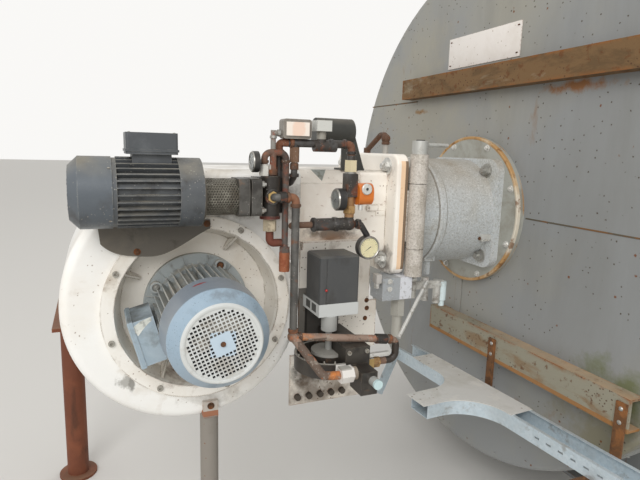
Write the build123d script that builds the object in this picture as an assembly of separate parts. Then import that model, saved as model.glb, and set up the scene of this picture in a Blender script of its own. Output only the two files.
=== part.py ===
"""Horizontal thermal oil heater: insulated drum on two saddles with a dual-block oil burner.

The drum lies along X. Its front plate, with the burner, looks towards -X.
The origin is on the floor, at the middle of the front saddle's foot.
Heights of the burner's pieces are counted from the drum's axis.
"""
import os
from math import asin, cos, degrees, pi, radians, sin, sqrt

from build123d import *

os.makedirs("parts", exist_ok=True)

# Drum
GROUND_CLEAR = 155.0    # floor to the underside of the jacket
DRUM_R = 965.0          # outside of the jacket
DRUM_L = 3200.0         # jacket between the two end plates
WALL_T = 100.0          # jacket, insulation and coil support as one wall
END_T = 60.0            # insulated end plates
END_EDGE_R = 14.0
PORT_R = 150.0          # burner port through the front plate
BAND_L = 60.0           # raised jacket bands
BAND_H = 4.0
BAND_COUNT = 4
INSPECT_R = 300.0       # dished inspection cover on the rear end
INSPECT_FLANGE_T = 18.0
INSPECT_DISH_R = 255.0
INSPECT_TOP_R = 235.0
INSPECT_DISH_H = 28.0

# Saddles
SADDLE_BACK = 550.0     # front saddle behind the face of the front plate
SADDLE_REAR = 510.0     # rear saddle before the jacket's end
SADDLE_W = 220.0        # foot along X
SADDLE_HALF = 50.0      # half angle of the wrap plate, degrees
FOOT_T = 16.0
WEB_T = 16.0
WEB_INSET = 20.0        # web and gussets inside the foot's edge
WRAP_T = 10.0
ANCHOR_R = 13.0         # holding-down bolt holes
ANCHOR_Y = 560.0        # from the middle of the foot
ANCHOR_X = 70.0

# Connections on top of the drum
FLUE_R = 200.0
FLUE_WALL = 5.0
FLUE_FROM_REAR = 300.0
FLUE_H = 260.0
FLUE_FLANGE_R = 260.0
FLUE_BOLTS = 12
FLUE_PCD = 470.0
FLUE_HOLE_R = 6.5
OIL_R = 84.0            # oil nozzles, outside
OIL_BORE_R = 78.0
OIL_H = 200.0
OIL_FLANGE_R = 150.0
OIL_BOLTS = 8
OIL_PCD = 250.0
OIL_HOLE_R = 13.0
OIL_IN_X = 820.0        # behind the front saddle
OIL_PITCH = 420.0
FLANGE_T = 24.0
STUB_DEPTH = 40.0       # how far a stub goes down into the jacket's wall
LUG_L = 140.0           # lifting lugs
LUG_T = 24.0
LUG_H = 95.0
LUG_EYE_R = 24.0
LUG_EYE_UP = 50.0
LUG_TOP_R = 40.0
LUG_GAP = 80.0          # rear lug clear of the flue's flange

# Channels across the front plate
CHANNEL_D = 50.0
CHANNEL_T = 7.0
UPPER_H = 84.0
UPPER_UP = 447.0
UPPER_FAR = 488.0
UPPER_NEAR = -760.0
LOWER_H = 99.0
LOWER_UP = -528.0
LOWER_FAR = 160.0
LOWER_NEAR = -780.0

# Cable tray under the lower channel, with its T branch
STRAP_W = 34.0
STRAP_T = 6.0
STRAP_TOP = -445.0
STRAP_YS = (-235.0, -758.0)
STRAP_REACH = 150.0     # leg under the tray
TRAY_UP = -604.0        # tray's upper edge
TRAY_W = 88.0
TRAY_H = 50.0
TRAY_T = 2.0
TRAY_LIP = 10.0
TRAY_FAR = 170.0
TRAY_NEAR = -1000.0
TRAY_TURN = 4.0         # the tray hangs a little askew, degrees about the near strap
BRANCH_Y = -262.0
BRANCH_L = 205.0        # branch beyond the straight tray's edge
BRANCH_FAR_R = 110.0    # curved inner corners of the T
BRANCH_NEAR_R = 150.0
TRAY_COVER_FAR = 48.0
TRAY_COVER_NEAR = -470.0
TRAY_COVER_T = 2.0
TRAY_COVER_OVER = 4.0   # overhang
TRAY_COVER_PAST = 5.0   # overhang at the branch's end, in side overhangs
SLOT_L = 18.0
SLOT_H = 6.0
SLOT_PITCH = 42.0
STAY_W = 45.0           # flat stay at the tray's far end
STAY_T = 3.0
STAY_L = 190.0
STAY_TILT = 25.0        # degrees from upright

# Burner mounting on the front plate, counted outwards from its face
RING_T = 30.0
RING_R = 277.0
PAD_T = 30.0
PAD_SIDE = 394.0
PAD_CORNER = 45.0
TUBE_L = 381.0
TUBE_R = 192.0
BEAD_H = 7.0
BEAD_HALF = 14.0
BEAD_FLAT = 8.0
BEAD_FROM_PAD = 211.0
REAR_FLANGE_T = 41.0
REAR_FLANGE_W = 448.0
REAR_FLANGE_H = 393.0
REAR_FLANGE_UP = 10.0
REAR_FLANGE_CORNER = 38.0
REAR_FLANGE_EDGE = 8.0
NOSE_L = 260.0          # blast tube inside the furnace
NOSE_WALL = 12.0
SIGHT_X = 261.0         # oval boss under the tube, from the front plate
SIGHT_Y = -100.0
SIGHT_R = 18.0
SIGHT_UP = -171.0
SIGHT_T = 22.0
SIGHT_STUB_R = 12.0
SIGHT_STUB_L = 50.0

# Hinge beside the tube
HINGE_R = 29.0
HINGE_BACK = 33.0       # hinge axis behind the rear flange
HINGE_OUT = 232.0
HINGE_LOW = -186.0
HINGE_SPLIT_LOW = -95.0
HINGE_SPLIT_HIGH = 114.0
HINGE_TOP = 208.0
HINGE_GAP = 1.5
HINGE_ARM = 44.0        # width of the arms that carry the knuckles
HINGE_ARM_H = 50.0
HINGE_ARM_IN = 60.0
PIN_R = 14.0
KNOB_R = 25.0
KNOB_H = 42.0
KNOB_SOCKET_R = 13.0
KNOB_SOCKET_D = 8.0
TOMMY_R = 6.0
TOMMY_L = 104.0

# Air housing
HOUSING_L = 617.0       # from the rear flange to the fan's axis
HOUSING_HALF_W = 165.0
HOUSING_TOP = 151.0
HOUSING_BOTTOM = -116.0
HOUSING_CHAMFER = 40.0
HOUSING_END_L = 100.0   # square end next to the rear flange
HOUSING_END_R = 14.0
EYE_L = 34.0            # small lug on the housing's near face
EYE_R = 10.0
EYE_T = 5.0
EYE_UP = 32.0

# Fan scroll
SCROLL_MOUTH = 300.0    # scroll's straight outlet ahead of the fan's axis
FAN_DROP = 241.0        # fan axis under the burner axis
SCROLL_NEAR = 205.0     # face of the scroll on the motor's side
SCROLL_STEP = 28.0      # the volute's radius shrinks by this each quarter turn
SCROLL_EDGE_R = 26.0
COVER_R = 265.0
COVER_T = 12.0
COVER_MOUTH_R = 238.0
DISH_DEPTH = 72.0
DISH_FLOOR_R = 212.0
DISH_T = 8.0
DISH_RIBS = 4
DISH_RIB_T = 9.0
DISH_RIB_IN = 26.0      # ribs start this far outside the motor's flange
DISH_TURN = 28.5        # ribs and motor bosses, degrees
POCKET_GAP = 6.0

# Fan motor
FAN_FLANGE_R = 150.0
FAN_FLANGE_T = 18.0
FAN_BOLT_R = 131.0
FAN_BOSS_R = 15.0
FAN_BOSS_L = 22.0
FAN_CORE_R = 108.0
FAN_FIN_R = 130.0
FAN_SHIELD_R = 118.0    # drive end shield between flange and fins
FAN_SHIELD_L = 34.0
FAN_BODY_L = 230.0
FAN_FINS = 40
FIN_T = 4.0
COWL_WALL = 3.0
FAN_COWL_R = 132.0
FAN_COWL_L = 77.0
FAN_COWL_TAPER = 7.0
FAN_NOSE_R = 97.0
FAN_NOSE_L = 39.0
GRILLE_R = 88.0
GRILLE_PITCH = 9.5
GRILLE_HOLE = 6.4
GRILLE_TURN = 20.0      # degrees
GRILLE_BLANK = 2        # holes left out each side of the middle
COWL_LAP = 10.0
FAN_BOX_W = 124.0
FAN_BOX_L = 130.0
FAN_BOX_H = 50.0
FAN_BOX_LID = 14.0
FAN_BOX_LIP = 3.0
FAN_BOX_BACK = 165.0
FAN_BOX_TURN = -105.0   # degrees

# Oil pump set on the scroll
PUMP_Y = -305.0
PUMP_UP = 98.0
PUMP_FROM_FAN = 16.0    # motor flange ahead of the fan's axis, towards the motor
PUMP_MOTOR_R = 87.0
PUMP_CORE_R = 72.0
PUMP_BODY_L = 220.0
PUMP_SHIELD_L = 58.0
PUMP_COWL_L = 85.0
PUMP_COWL_EDGE = 22.0
PUMP_FINS = 32
PUMP_FIN_T = 3.0
PUMP_FOOT_W = 36.0
PUMP_BOX_L = 119.0
PUMP_BOX_W = 104.0
PUMP_BOX_BACK = 177.0
PUMP_BOX_TOP = 145.0
PUMP_BOX_FOOT_H = 22.0
PUMP_BOX_INSET = 14.0
GUARD_DROP = 12.0
GUARD_R = 48.0
GUARD_L = 93.0
GUARD_FLANGE_R = 60.0
GUARD_FLANGE_T = 10.0
SQUARE_SIDE = 98.0      # two square flanges between guard and pump
SQUARE_T = 28.0
SQUARE_CORNER = 14.0
SQUARE_JOINT = 5.0
PUMP_R = 26.0
PUMP_AHEAD = 36.0       # upright cylinder's axis ahead of the square flanges
PUMP_LOW = 33.0
PUMP_HIGH = 141.0
PUMP_CASE_D = 55.0      # casing behind the cylinder's axis
PUMP_CASE_BACK = 10.0
PUMP_RING_R = 28.0
PUMP_RING_T = 8.0
PUMP_DRAIN_R = 19.0
PUMP_DRAIN_L = 34.0
BRACKET_T = 10.0
BRACKET_L = 250.0
BRACKET_UNDER = 42.0    # bracket's top under the motor's axis
BRACKET_TAIL = 256.0    # bracket's tail beside the motor, over the fan's axis
BRACKET_EDGE = ((-256, 199), (-211, 170), (-170, 163), (-114, 162), (-71, 177), (-22, 205), (27, 232))

# Pipes and fittings in front of the housing
PIPE_Y = PUMP_Y
PIPE_R = 11.0
PIPE_BEND = 22.0
RISER_OUT = 40.0        # riser in front of the other pipes
RISER_AHEAD = 60.0      # riser ahead of the pump's cylinder
RISER_LOW = -306.0
LOOP_TOP = 203.0
LOOP_LEFT = 17.0
LOOP_RIGHT = 44.0
LOOP_R = 9.0
LOOP_NUT_R = 14.0
NIPPLE_R = 15.0
NIPPLE_TOP = -71.0
NIPPLE_LOW = -125.0
VENT_TOP = 262.0
VENT_R = 7.0
UPPER_PIPE_UP = 230.0
UPPER_PIPE_AHEAD = 32.0
UPPER_TEE_AHEAD = 68.0
UPPER_TEE_LOW = 118.0
HEX_BAR_R = 14.0
HEX_BAR_LOW = 178.0
STACK_BACK = 203.0      # valve stack before the rear flange
STACK_TOP = 187.0
BRANCH_UP = 4.0
BRANCH_THIN = 69.0      # thin part of the branch, from the riser
SWITCH_L = 81.0
SWITCH_H = 52.0
SWITCH_D = 36.0
SWITCH_CORNER = 8.0
SWITCH_BACK = 31.0
PLUG_AHEAD = 86.0       # plug on the upper pipe, ahead of the riser
PLUG_SIDE = 44.0
PLUG_H = 29.0
PLUG_NECK = 23.0
SMALL_GAUGE_R = 28.0
SMALL_GAUGE_T = 15.0
SIDE_GAUGE_R = 32.0
SIDE_GAUGE_T = 21.0
SIDE_GAUGE_UP = 75.0
DIAL_R = 35.0
DIAL_T = 22.0
DIAL_AHEAD = 63.0
DIAL_UP = -68.0
DIAL_OUT = 14.0
VALVE_SIDE = 33.0
COIL_L = 46.0
COIL_SIDE = 62.0
COIL_UP = 91.0
COIL_NUT_R = 16.0
ACTUATOR_R = 42.0
ACTUATOR_L = 122.0
ACTUATOR_Y = -110.0
ACTUATOR_UP = 270.0
ACTUATOR_BACK = 175.0
ACTUATOR_FOOT_L = 82.0
ACTUATOR_FOOT_W = 56.0
ACTUATOR_PLATE_T = 6.0
TAPPING_Y = -105.0      # air tapping on the rear flange's top
TAPPING_R = 9.0
TAPPING_TOP = 268.0
TAPPING_REACH = 130.0

# Equipment plate under the housing, with the damper drive and the oil regulator
PLATE_Y = -190.0
PLATE_T = 8.0
PLATE_TOP = -91.0
PLATE_LOW = -598.0
PLATE_STEP = -430.0     # the plate widens below this
PLATE_STEP_W = 25.0
PLATE_WING_W = 29.0     # and reaches further right above it
PLATE_WING_TOP = -270.0
PLATE_GAP = 0.5
PLATE_FROM_FLANGE = 64.0
GLAND_R = 10.0
GLAND_L = 14.0
GLAND_UP = -570.0
GLAND_PITCH = 39.0
GLAND_COUNT = 5
SERVO_IN = 13.5
SERVO_W = 127.0
SERVO_D = 125.0
SERVO_HIGH = -88.0
SERVO_SPLIT = -230.0
SERVO_LOW = -268.0
SERVO_CORNER = 8.0
SERVO_GROOVE = 5.0
SERVO_BACK = 20.0       # hood before the plate
HUB_R = 24.0
HUB_L = 46.0
SHAFT_R = 10.0
CAM_R = 102.0
CAM_HIGH = -383.0
CAM_LOW = -428.0
CAM_DISC_R = 52.0
CAM_DISC_T = 9.0
CAM_OUT = 110.0         # cam's axis in front of the plate
CAM_IN = 42.0           # cam's axis from the drive's edge
REG_IN = 66.0           # regulator block from the plate's edge
REG_L = 77.0
REG_OUT = 210.0
REG_HIGH = -340.0
REG_LOW = -414.0
REG_NOSE_L = 50.0
REG_NOSE_BACK = 58.0    # nose starts before the block's end
REG_NOSE_UP = -401.0
REG_NOSE_Y = -430.0
REG_NOSE_HIGH = -390.0
REG_NOSE_LOW = -456.0
REG_NOSE_D = 70.0
SLANT_R = 12.0
SLANT_BEND_Z = -397.0
NUT_R = 24.0
NUT_L = 38.0
NUT_RING_L = 13.0
TAP_R = 14.0
TAP_L = 32.0
BRASS_SIDE = 34.0
CROSS_L = 183.0         # cross pipe's end beyond the regulator's edge
CROSS_DROP = 38.0
CROSS_OUT = 20.0

# Ignition box and cable couplings under the rear flange
BOX_L = 112.0
BOX_H = 75.0
BOX_D = 80.0
BOX_BEFORE = 45.0
BOX_NEAR = -245.0
BOX_SPLIT = 65.0
BOX_NUT_R = 25.0
BOX_NUT_L = 64.0
BOX_STUB_R = 16.0
BOX_STUB_L = 138.0
COUPLING_R = 13.0
COUPLING_L = 80.0
COUPLING_COUNT = 3
COUPLING_PITCH = 50.0
COUPLING_GAP = 4.0      # couplings under the hinge

# Posts
FRONT_POST_R = 27.0
FRONT_POST_AHEAD = 27.0
FRONT_POST_Y = -190.0
FRONT_POST_LAP = 36.0
POST_BRACKET_W = 44.0
POST_BRACKET_H = 51.0
POST_BRACKET_T = 14.0
REAR_POST_R = 40.0
REAR_POST_WALL = 5.0
REAR_POST_Y = 516.0
REAR_POST_BACK = 371.0
REAR_POST_TOP = -385.0
REAR_POST_CAP = 20.0
REAR_POST_FOOT_R = 70.0
REAR_POST_FOOT_T = 10.0
ARM_L = 190.0
ARM_T = 12.0
ARM_PLATE_H = 120.0

axis_z = GROUND_CLEAR + DRUM_R
x_face = -SADDLE_BACK
x_ring = x_face - RING_T
x_pad = x_ring - PAD_T
x_flange = x_pad - TUBE_L
x_house = x_flange - REAR_FLANGE_T
x_fan = x_house - HOUSING_L
x_mouth = x_fan + SCROLL_MOUTH
x_shell = x_face + END_T
x_rear = x_shell + DRUM_L
x_flue = x_rear - FLUE_FROM_REAR
z_stub = axis_z + DRUM_R - STUB_DEPTH
z_fan = axis_z - FAN_DROP
z_pump = axis_z + PUMP_UP
y_cover = -SCROLL_NEAR - COVER_T


def block(x0, x1, y0, y1, z0, z1):
    """A box between two corners."""
    middle = Pos((x0 + x1) / 2, (y0 + y1) / 2, (z0 + z1) / 2)
    return middle * Box(abs(x1 - x0), abs(y1 - y0), abs(z1 - z0))


def rod_x(x0, x1, y, z, r):
    return Pos((x0 + x1) / 2, y, z) * Rot(0, 90, 0) * Cylinder(r, abs(x1 - x0))


def rod_y(x, y0, y1, z, r):
    return Pos(x, (y0 + y1) / 2, z) * Rot(90, 0, 0) * Cylinder(r, abs(y1 - y0))


def rod_z(x, y, z0, z1, r):
    return Pos(x, y, (z0 + z1) / 2) * Cylinder(r, abs(z1 - z0))


def hex_x(x0, x1, y, z, r):
    """A hexagon bar along X; r is to its corners."""
    face = Plane.YZ.offset(min(x0, x1)) * Pos(y, z) * RegularPolygon(r, 6)
    return extrude(face, abs(x1 - x0))


def hex_z(x, y, z0, z1, r):
    face = Plane.XY.offset(min(z0, z1)) * Pos(x, y) * RegularPolygon(r, 6)
    return extrude(face, abs(z1 - z0))


def turned_x(outline, y, z):
    """A body turned about a line along X, from (x, radius) points."""
    face = make_face(Polyline(*outline, close=True))
    return Pos(0, y, z) * revolve(face, Axis.X)


def turned_y(outline, x, z):
    """A body turned about a line along Y, from (radius, y) points."""
    face = make_face(Polyline(*outline, close=True))
    return Pos(x, 0, z) * revolve(face, Axis.Y)


def rounded_plate_x(x0, x1, y, z, width, height, corner):
    """A plate across X with rounded corners."""
    face = Plane.YZ.offset(min(x0, x1)) * Pos(y, z) * RectangleRounded(width, height, corner)
    return extrude(face, abs(x1 - x0))


def pipe(points, r, bend):
    """A bent pipe: straight runs joined by arcs."""
    path = FilletPolyline(*points, radius=bend)
    return sweep(Plane(origin=path @ 0, z_dir=path % 0) * Circle(r), path)


def fins_about_x(x0, x1, y, z, inner, outer, count, fin):
    """Radial cooling fins along X."""
    one = block(x0, x1, -fin / 2, fin / 2, inner, sqrt(outer**2 - fin**2 / 4))
    return [Pos(0, y, z) * Rot(360 * i / count, 0, 0) * one for i in range(count)]


def fins_about_y(x, y0, y1, z, inner, outer, count, fin):
    """Radial cooling fins along Y."""
    one = block(-fin / 2, fin / 2, y0, y1, inner, sqrt(outer**2 - fin**2 / 4))
    return [Pos(x, 0, z) * Rot(0, 360 * i / count, 0) * one for i in range(count)]


def save(name, shape):
    export_step(shape, f"parts/{name}.step")


def drum_shell():
    """Insulated jacket with raised bands, open at both ends, with seats for the stubs."""
    gap = (DRUM_L - BAND_COUNT * BAND_L) / (BAND_COUNT - 1)
    outline = [(x_shell, DRUM_R - WALL_T)]
    for i in range(BAND_COUNT):
        start = x_shell + i * (BAND_L + gap)
        if i > 0:
            outline.append((start, DRUM_R))
        outline += [(start, DRUM_R + BAND_H), (start + BAND_L, DRUM_R + BAND_H)]
        if i < BAND_COUNT - 1:
            outline.append((start + BAND_L, DRUM_R))
    outline.append((x_rear, DRUM_R - WALL_T))
    shell = turned_x(outline, 0, axis_z)
    for x, outer in ((x_flue, FLUE_R), (OIL_IN_X, OIL_R), (OIL_IN_X - OIL_PITCH, OIL_R)):
        shell -= rod_z(x, 0, z_stub, axis_z + DRUM_R + 2 * BAND_H, outer)
    return shell


def front_plate():
    disc = rod_x(x_face, x_shell, 0, axis_z, DRUM_R)
    disc = fillet(disc.edges().sort_by(Axis.X)[0], END_EDGE_R)
    return disc - rod_x(x_face - 1, x_shell + 1, 0, axis_z, PORT_R)


def rear_cover():
    disc = rod_x(x_rear, x_rear + END_T, 0, axis_z, DRUM_R)
    return fillet(disc.edges().sort_by(Axis.X)[-1], END_EDGE_R)


def inspection_cover():
    """Flanged cover with a shallow dish."""
    x0 = x_rear + END_T
    x1 = x0 + INSPECT_FLANGE_T
    x2 = x1 + INSPECT_DISH_H
    rim = [(x0, 0), (x0, INSPECT_R), (x1, INSPECT_R)]
    outline = rim + [(x1, INSPECT_DISH_R), (x2, INSPECT_TOP_R), (x2, 0)]
    return turned_x(outline, 0, axis_z)


def saddle(x):
    """Foot plate, web, gussets and the wrap plate that carries the drum."""
    half = radians(SADDLE_HALF)
    wrap_r = DRUM_R + BAND_H + WRAP_T
    reach = wrap_r * sin(half)
    top = axis_z - wrap_r * cos(half)
    edge = reach - WEB_INSET
    side = SADDLE_W / 2
    wrap = rod_x(x - side, x + side, 0, axis_z, wrap_r)
    wrap &= block(x - side, x + side, -reach, reach, 0, top)
    body = wrap + block(x - WEB_T / 2, x + WEB_T / 2, -edge, edge, FOOT_T, top)
    for y in (-edge + WEB_T / 2, -reach / 2, reach / 2, edge - WEB_T / 2):
        body += block(
            x - side + WEB_INSET / 2, x + side - WEB_INSET / 2, y - WEB_T / 2, y + WEB_T / 2, FOOT_T, top
        )
    body += block(x - side, x + side, -reach, reach, 0, FOOT_T)
    for sx in (-1, 1):
        for sy in (-1, 1):
            body -= rod_z(x + sx * ANCHOR_X, sy * ANCHOR_Y, -1, FOOT_T + 1, ANCHOR_R)
    return body - rod_x(x_shell, x_rear, 0, axis_z, DRUM_R) - jacket


def nozzle(x, outer, bore, height, flange_r, bolts, pcd, hole_r):
    """A flanged stub that stands in its seat on the top of the drum."""
    top = axis_z + DRUM_R + height
    stub = rod_z(x, 0, z_stub, top, outer) + rod_z(x, 0, top - FLANGE_T, top, flange_r)
    stub -= rod_z(x, 0, z_stub - 1, top + 1, bore)
    for i in range(bolts):
        angle = 2 * pi * (i + 0.5) / bolts
        y = pcd / 2 * sin(angle)
        stub -= rod_z(x + pcd / 2 * cos(angle), y, top - FLANGE_T - 1, top + 1, hole_r)
    return stub


def lifting_lugs():
    """Two lugs with round heads on the top line of the drum."""
    lugs = []
    z_eye = axis_z + DRUM_R + LUG_EYE_UP
    z_top = axis_z + DRUM_R + LUG_H
    for x in (0, x_flue - FLUE_FLANGE_R - LUG_GAP - LUG_L / 2):
        lug = block(x - LUG_L / 2, x + LUG_L / 2, -LUG_T / 2, LUG_T / 2, axis_z + DRUM_R / 2, z_top)
        lug = fillet(lug.edges().filter_by(Axis.Y).group_by(Axis.Z)[-1], LUG_TOP_R)
        lug -= rod_y(x, -LUG_T, LUG_T, z_eye, LUG_EYE_R)
        lug -= rod_x(x - LUG_L, x + LUG_L, 0, axis_z, DRUM_R)
        lugs.append(lug - jacket)
    return Compound(children=lugs)


def channel(up, height, far, near):
    """A rolled channel with its web on the front plate and its flanges outwards."""
    z0 = axis_z + up
    z1 = z0 + height
    x0 = x_face - CHANNEL_D
    hollow = block(x0 + CHANNEL_T, x_face + 1, near - 1, far + 1, z0 + CHANNEL_T, z1 - CHANNEL_T)
    return block(x0, x_face, near, far, z0, z1) - hollow


x_strap = x_face - CHANNEL_D - STRAP_T
z_tray = axis_z + TRAY_UP
z_tray_low = z_tray - TRAY_H


def tray_straps():
    """Flat straps on the lower channel, bent forward to carry the tray."""
    straps = []
    for y in STRAP_YS:
        y0 = y - STRAP_W / 2
        y1 = y + STRAP_W / 2
        strap = block(x_strap, x_strap + STRAP_T, y0, y1, z_tray_low - STRAP_T, axis_z + STRAP_TOP)
        leg = block(x_strap - STRAP_REACH, x_strap, y0, y1, z_tray_low - STRAP_T, z_tray_low)
        straps.append(strap + leg)
    return Compound(children=straps)


def tray_outline(near, far, margin):
    """The T in plan, grown or shrunk by a margin, with both inner corners rounded."""
    x1 = x_strap + margin
    x0 = x_strap - TRAY_W - margin
    half = TRAY_W / 2 + margin
    run = Pos((x0 + x1) / 2, (near + far) / 2) * Rectangle(x1 - x0, far - near)
    x2 = x_strap - TRAY_W - BRANCH_L - max(margin, 0) * TRAY_COVER_PAST
    branch = Pos((x0 + x2) / 2 + half / 2, BRANCH_Y) * Rectangle(x0 - x2 + half, 2 * half)
    tee = run + branch
    inner = [v for v in tee.vertices() if abs(v.X - x0) < 0.1 and abs(abs(v.Y - BRANCH_Y) - half) < 0.1]
    inner.sort(key=lambda v: v.Y)
    tee = fillet(inner[1], BRANCH_FAR_R - margin)
    inner = [v for v in tee.vertices() if abs(v.X - x0) < 0.1 and abs(v.Y - BRANCH_Y + half) < 0.1]
    return fillet(inner[0], BRANCH_NEAR_R - margin)


def askew(shape):
    """Turns what hangs on the straps about the near strap."""
    pivot = Pos(x_strap, STRAP_YS[-1] - STRAP_W / 2, 0)
    return pivot * Rot(0, 0, TRAY_TURN) * pivot.inverse() * shape


def tray_slab(near, far, margin, z0, z1):
    return extrude(Plane.XY.offset(z0) * tray_outline(near, far, margin), z1 - z0)


def cable_tray():
    """Folded sheet tray with lips, open at its three ends, and the flat stay at the far end."""
    end = 2 * TRAY_T
    tray = tray_slab(TRAY_NEAR, TRAY_FAR, 0, z_tray_low, z_tray)
    inner = tray_slab(TRAY_NEAR, TRAY_FAR, -TRAY_T, z_tray_low + TRAY_T, z_tray - TRAY_T)
    throat = tray_slab(TRAY_NEAR, TRAY_FAR, -TRAY_T - TRAY_LIP, z_tray - 2 * TRAY_T, z_tray + 1)
    x0 = x_strap - TRAY_W
    x2 = x0 - BRANCH_L
    for low, high, lip in (
        (z_tray_low + TRAY_T, z_tray - TRAY_T, TRAY_T),
        (z_tray - 2 * TRAY_T, z_tray + 1, TRAY_T + TRAY_LIP),
    ):
        inner += block(x2 - 1, x2 + end, BRANCH_Y - TRAY_W / 2 + lip, BRANCH_Y + TRAY_W / 2 - lip, low, high)
    tray = tray - inner - throat
    slot = (TRAY_NEAR + SLOT_PITCH, BRANCH_Y - TRAY_W / 2 - BRANCH_NEAR_R - SLOT_PITCH)
    count = int((slot[1] - slot[0]) / SLOT_PITCH)
    z_slot = z_tray_low + TRAY_H / 2
    for i in range(count):
        y = slot[0] + i * SLOT_PITCH
        tray -= block(x0 - 1, x0 + end, y, y + SLOT_L, z_slot - SLOT_H / 2, z_slot + SLOT_H / 2)
    stay = block(-STAY_W / 2, STAY_W / 2, TRAY_FAR, TRAY_FAR + STAY_T, -STAY_L, STAY_W / 2)
    stay = Pos(x0, 0, z_tray - STAY_W / 2) * Rot(0, STAY_TILT, 0) * stay
    return askew(tray + stay)


def tray_cover():
    return askew(tray_slab(TRAY_COVER_NEAR, TRAY_COVER_FAR, TRAY_COVER_OVER, z_tray, z_tray + TRAY_COVER_T))


jacket = drum_shell()
save("drum_shell", jacket)
save("front_plate", front_plate())
save("rear_cover", rear_cover())
save("inspection_cover", inspection_cover())
save("front_saddle", saddle(0))
save("rear_saddle", saddle(x_rear - SADDLE_REAR))
flue = (FLUE_R, FLUE_R - FLUE_WALL, FLUE_H, FLUE_FLANGE_R, FLUE_BOLTS, FLUE_PCD, FLUE_HOLE_R)
oil = (OIL_R, OIL_BORE_R, OIL_H, OIL_FLANGE_R, OIL_BOLTS, OIL_PCD, OIL_HOLE_R)
save("flue_outlet", nozzle(x_flue, *flue))
save("oil_inlet", nozzle(OIL_IN_X, *oil))
save("oil_outlet", nozzle(OIL_IN_X - OIL_PITCH, *oil))
save("lifting_lugs", lifting_lugs())
save("upper_channel", channel(UPPER_UP, UPPER_H, UPPER_FAR, UPPER_NEAR))
save("lower_channel", channel(LOWER_UP, LOWER_H, LOWER_FAR, LOWER_NEAR))
save("tray_straps", tray_straps())
save("cable_tray", cable_tray())
save("tray_cover", tray_cover())


def burner_ring():
    ring = rod_x(x_ring, x_face, 0, axis_z, RING_R)
    return ring - rod_x(x_ring - 1, x_face + 1, 0, axis_z, PORT_R)


def mounting_flange():
    pad = rounded_plate_x(x_pad, x_ring, 0, axis_z, PAD_SIDE, PAD_SIDE, PAD_CORNER)
    return pad - rod_x(x_pad - 1, x_ring + 1, 0, axis_z, PORT_R)


def blast_tube():
    """Housing in front of the pad, the tube that goes on into the furnace, and the boss below."""
    x_end = x_shell + NOSE_L
    x_bead = x_pad - BEAD_FROM_PAD
    outline = [
        (x_flange, 0),
        (x_flange, TUBE_R),
        (x_bead - BEAD_HALF, TUBE_R),
        (x_bead - BEAD_FLAT, TUBE_R + BEAD_H),
        (x_bead + BEAD_FLAT, TUBE_R + BEAD_H),
        (x_bead + BEAD_HALF, TUBE_R),
        (x_pad, TUBE_R),
        (x_pad, PORT_R),
        (x_end, PORT_R),
        (x_end, PORT_R - NOSE_WALL),
        (x_pad, PORT_R - NOSE_WALL),
        (x_pad, 0),
    ]
    x_boss = x_face - SIGHT_X
    z_boss = axis_z + SIGHT_UP
    oval = Pos(x_boss, SIGHT_Y, z_boss) * SlotCenterToCenter(SIGHT_R, 2 * SIGHT_R)
    boss = extrude(oval, SIGHT_T)
    boss += rod_z(x_boss, SIGHT_Y, z_boss, axis_z, SIGHT_R)
    boss += rod_z(x_boss, SIGHT_Y, z_boss - SIGHT_STUB_L, z_boss, SIGHT_STUB_R)
    return turned_x(outline, 0, axis_z) + boss


def rear_flange():
    plate = rounded_plate_x(
        x_house, x_flange, 0, axis_z + REAR_FLANGE_UP, REAR_FLANGE_W, REAR_FLANGE_H, REAR_FLANGE_CORNER
    )
    return fillet(plate.edges().group_by(Axis.X)[0], REAR_FLANGE_EDGE)


x_hinge = x_flange + HINGE_BACK


def hinge_knuckles():
    """Upper and lower knuckle on the tube, middle knuckle on the rear flange."""
    tube = rod_x(x_flange, x_pad, 0, axis_z, TUBE_R)
    arm = HINGE_ARM / 2
    solids = []
    for low, high, arm_low in (
        (HINGE_LOW, HINGE_SPLIT_LOW - HINGE_GAP, HINGE_SPLIT_LOW - HINGE_GAP - HINGE_ARM_H),
        (HINGE_SPLIT_HIGH + HINGE_GAP, HINGE_TOP, HINGE_SPLIT_HIGH + HINGE_GAP),
    ):
        barrel = rod_z(x_hinge, -HINGE_OUT, axis_z + low, axis_z + high, HINGE_R)
        z0 = axis_z + arm_low
        link = block(x_hinge - arm, x_hinge + arm, -HINGE_OUT, -HINGE_ARM_IN, z0, z0 + HINGE_ARM_H)
        solids.append(barrel + link - tube)
    middle = rod_z(x_hinge, -HINGE_OUT, axis_z + HINGE_SPLIT_LOW, axis_z + HINGE_SPLIT_HIGH, HINGE_R)
    z0 = axis_z + HINGE_SPLIT_LOW + arm
    z1 = axis_z + HINGE_SPLIT_HIGH - arm
    half_w = REAR_FLANGE_W / 2
    middle += block(x_flange, x_hinge, -half_w, -TUBE_R - HINGE_GAP, z0, z1)
    solids.append(middle)
    pin = rod_z(x_hinge, -HINGE_OUT, axis_z + HINGE_LOW - 1, axis_z + HINGE_TOP + 1, PIN_R)
    return Compound(children=[solid - pin for solid in solids])


def hinge_pin():
    """Pin with a round head, its socket and the tommy bar."""
    z1 = axis_z + HINGE_TOP
    z2 = z1 + KNOB_H
    pin = rod_z(x_hinge, -HINGE_OUT, axis_z + HINGE_LOW, z1, PIN_R)
    pin += rod_z(x_hinge, -HINGE_OUT, z1, z2, KNOB_R)
    pin -= rod_z(x_hinge, -HINGE_OUT, z2 - KNOB_SOCKET_D, z2 + 1, KNOB_SOCKET_R)
    return pin + rod_x(x_hinge + KNOB_R - TOMMY_R, x_hinge + TOMMY_L, -HINGE_OUT, z2 - 2 * TOMMY_R, TOMMY_R)


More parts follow.
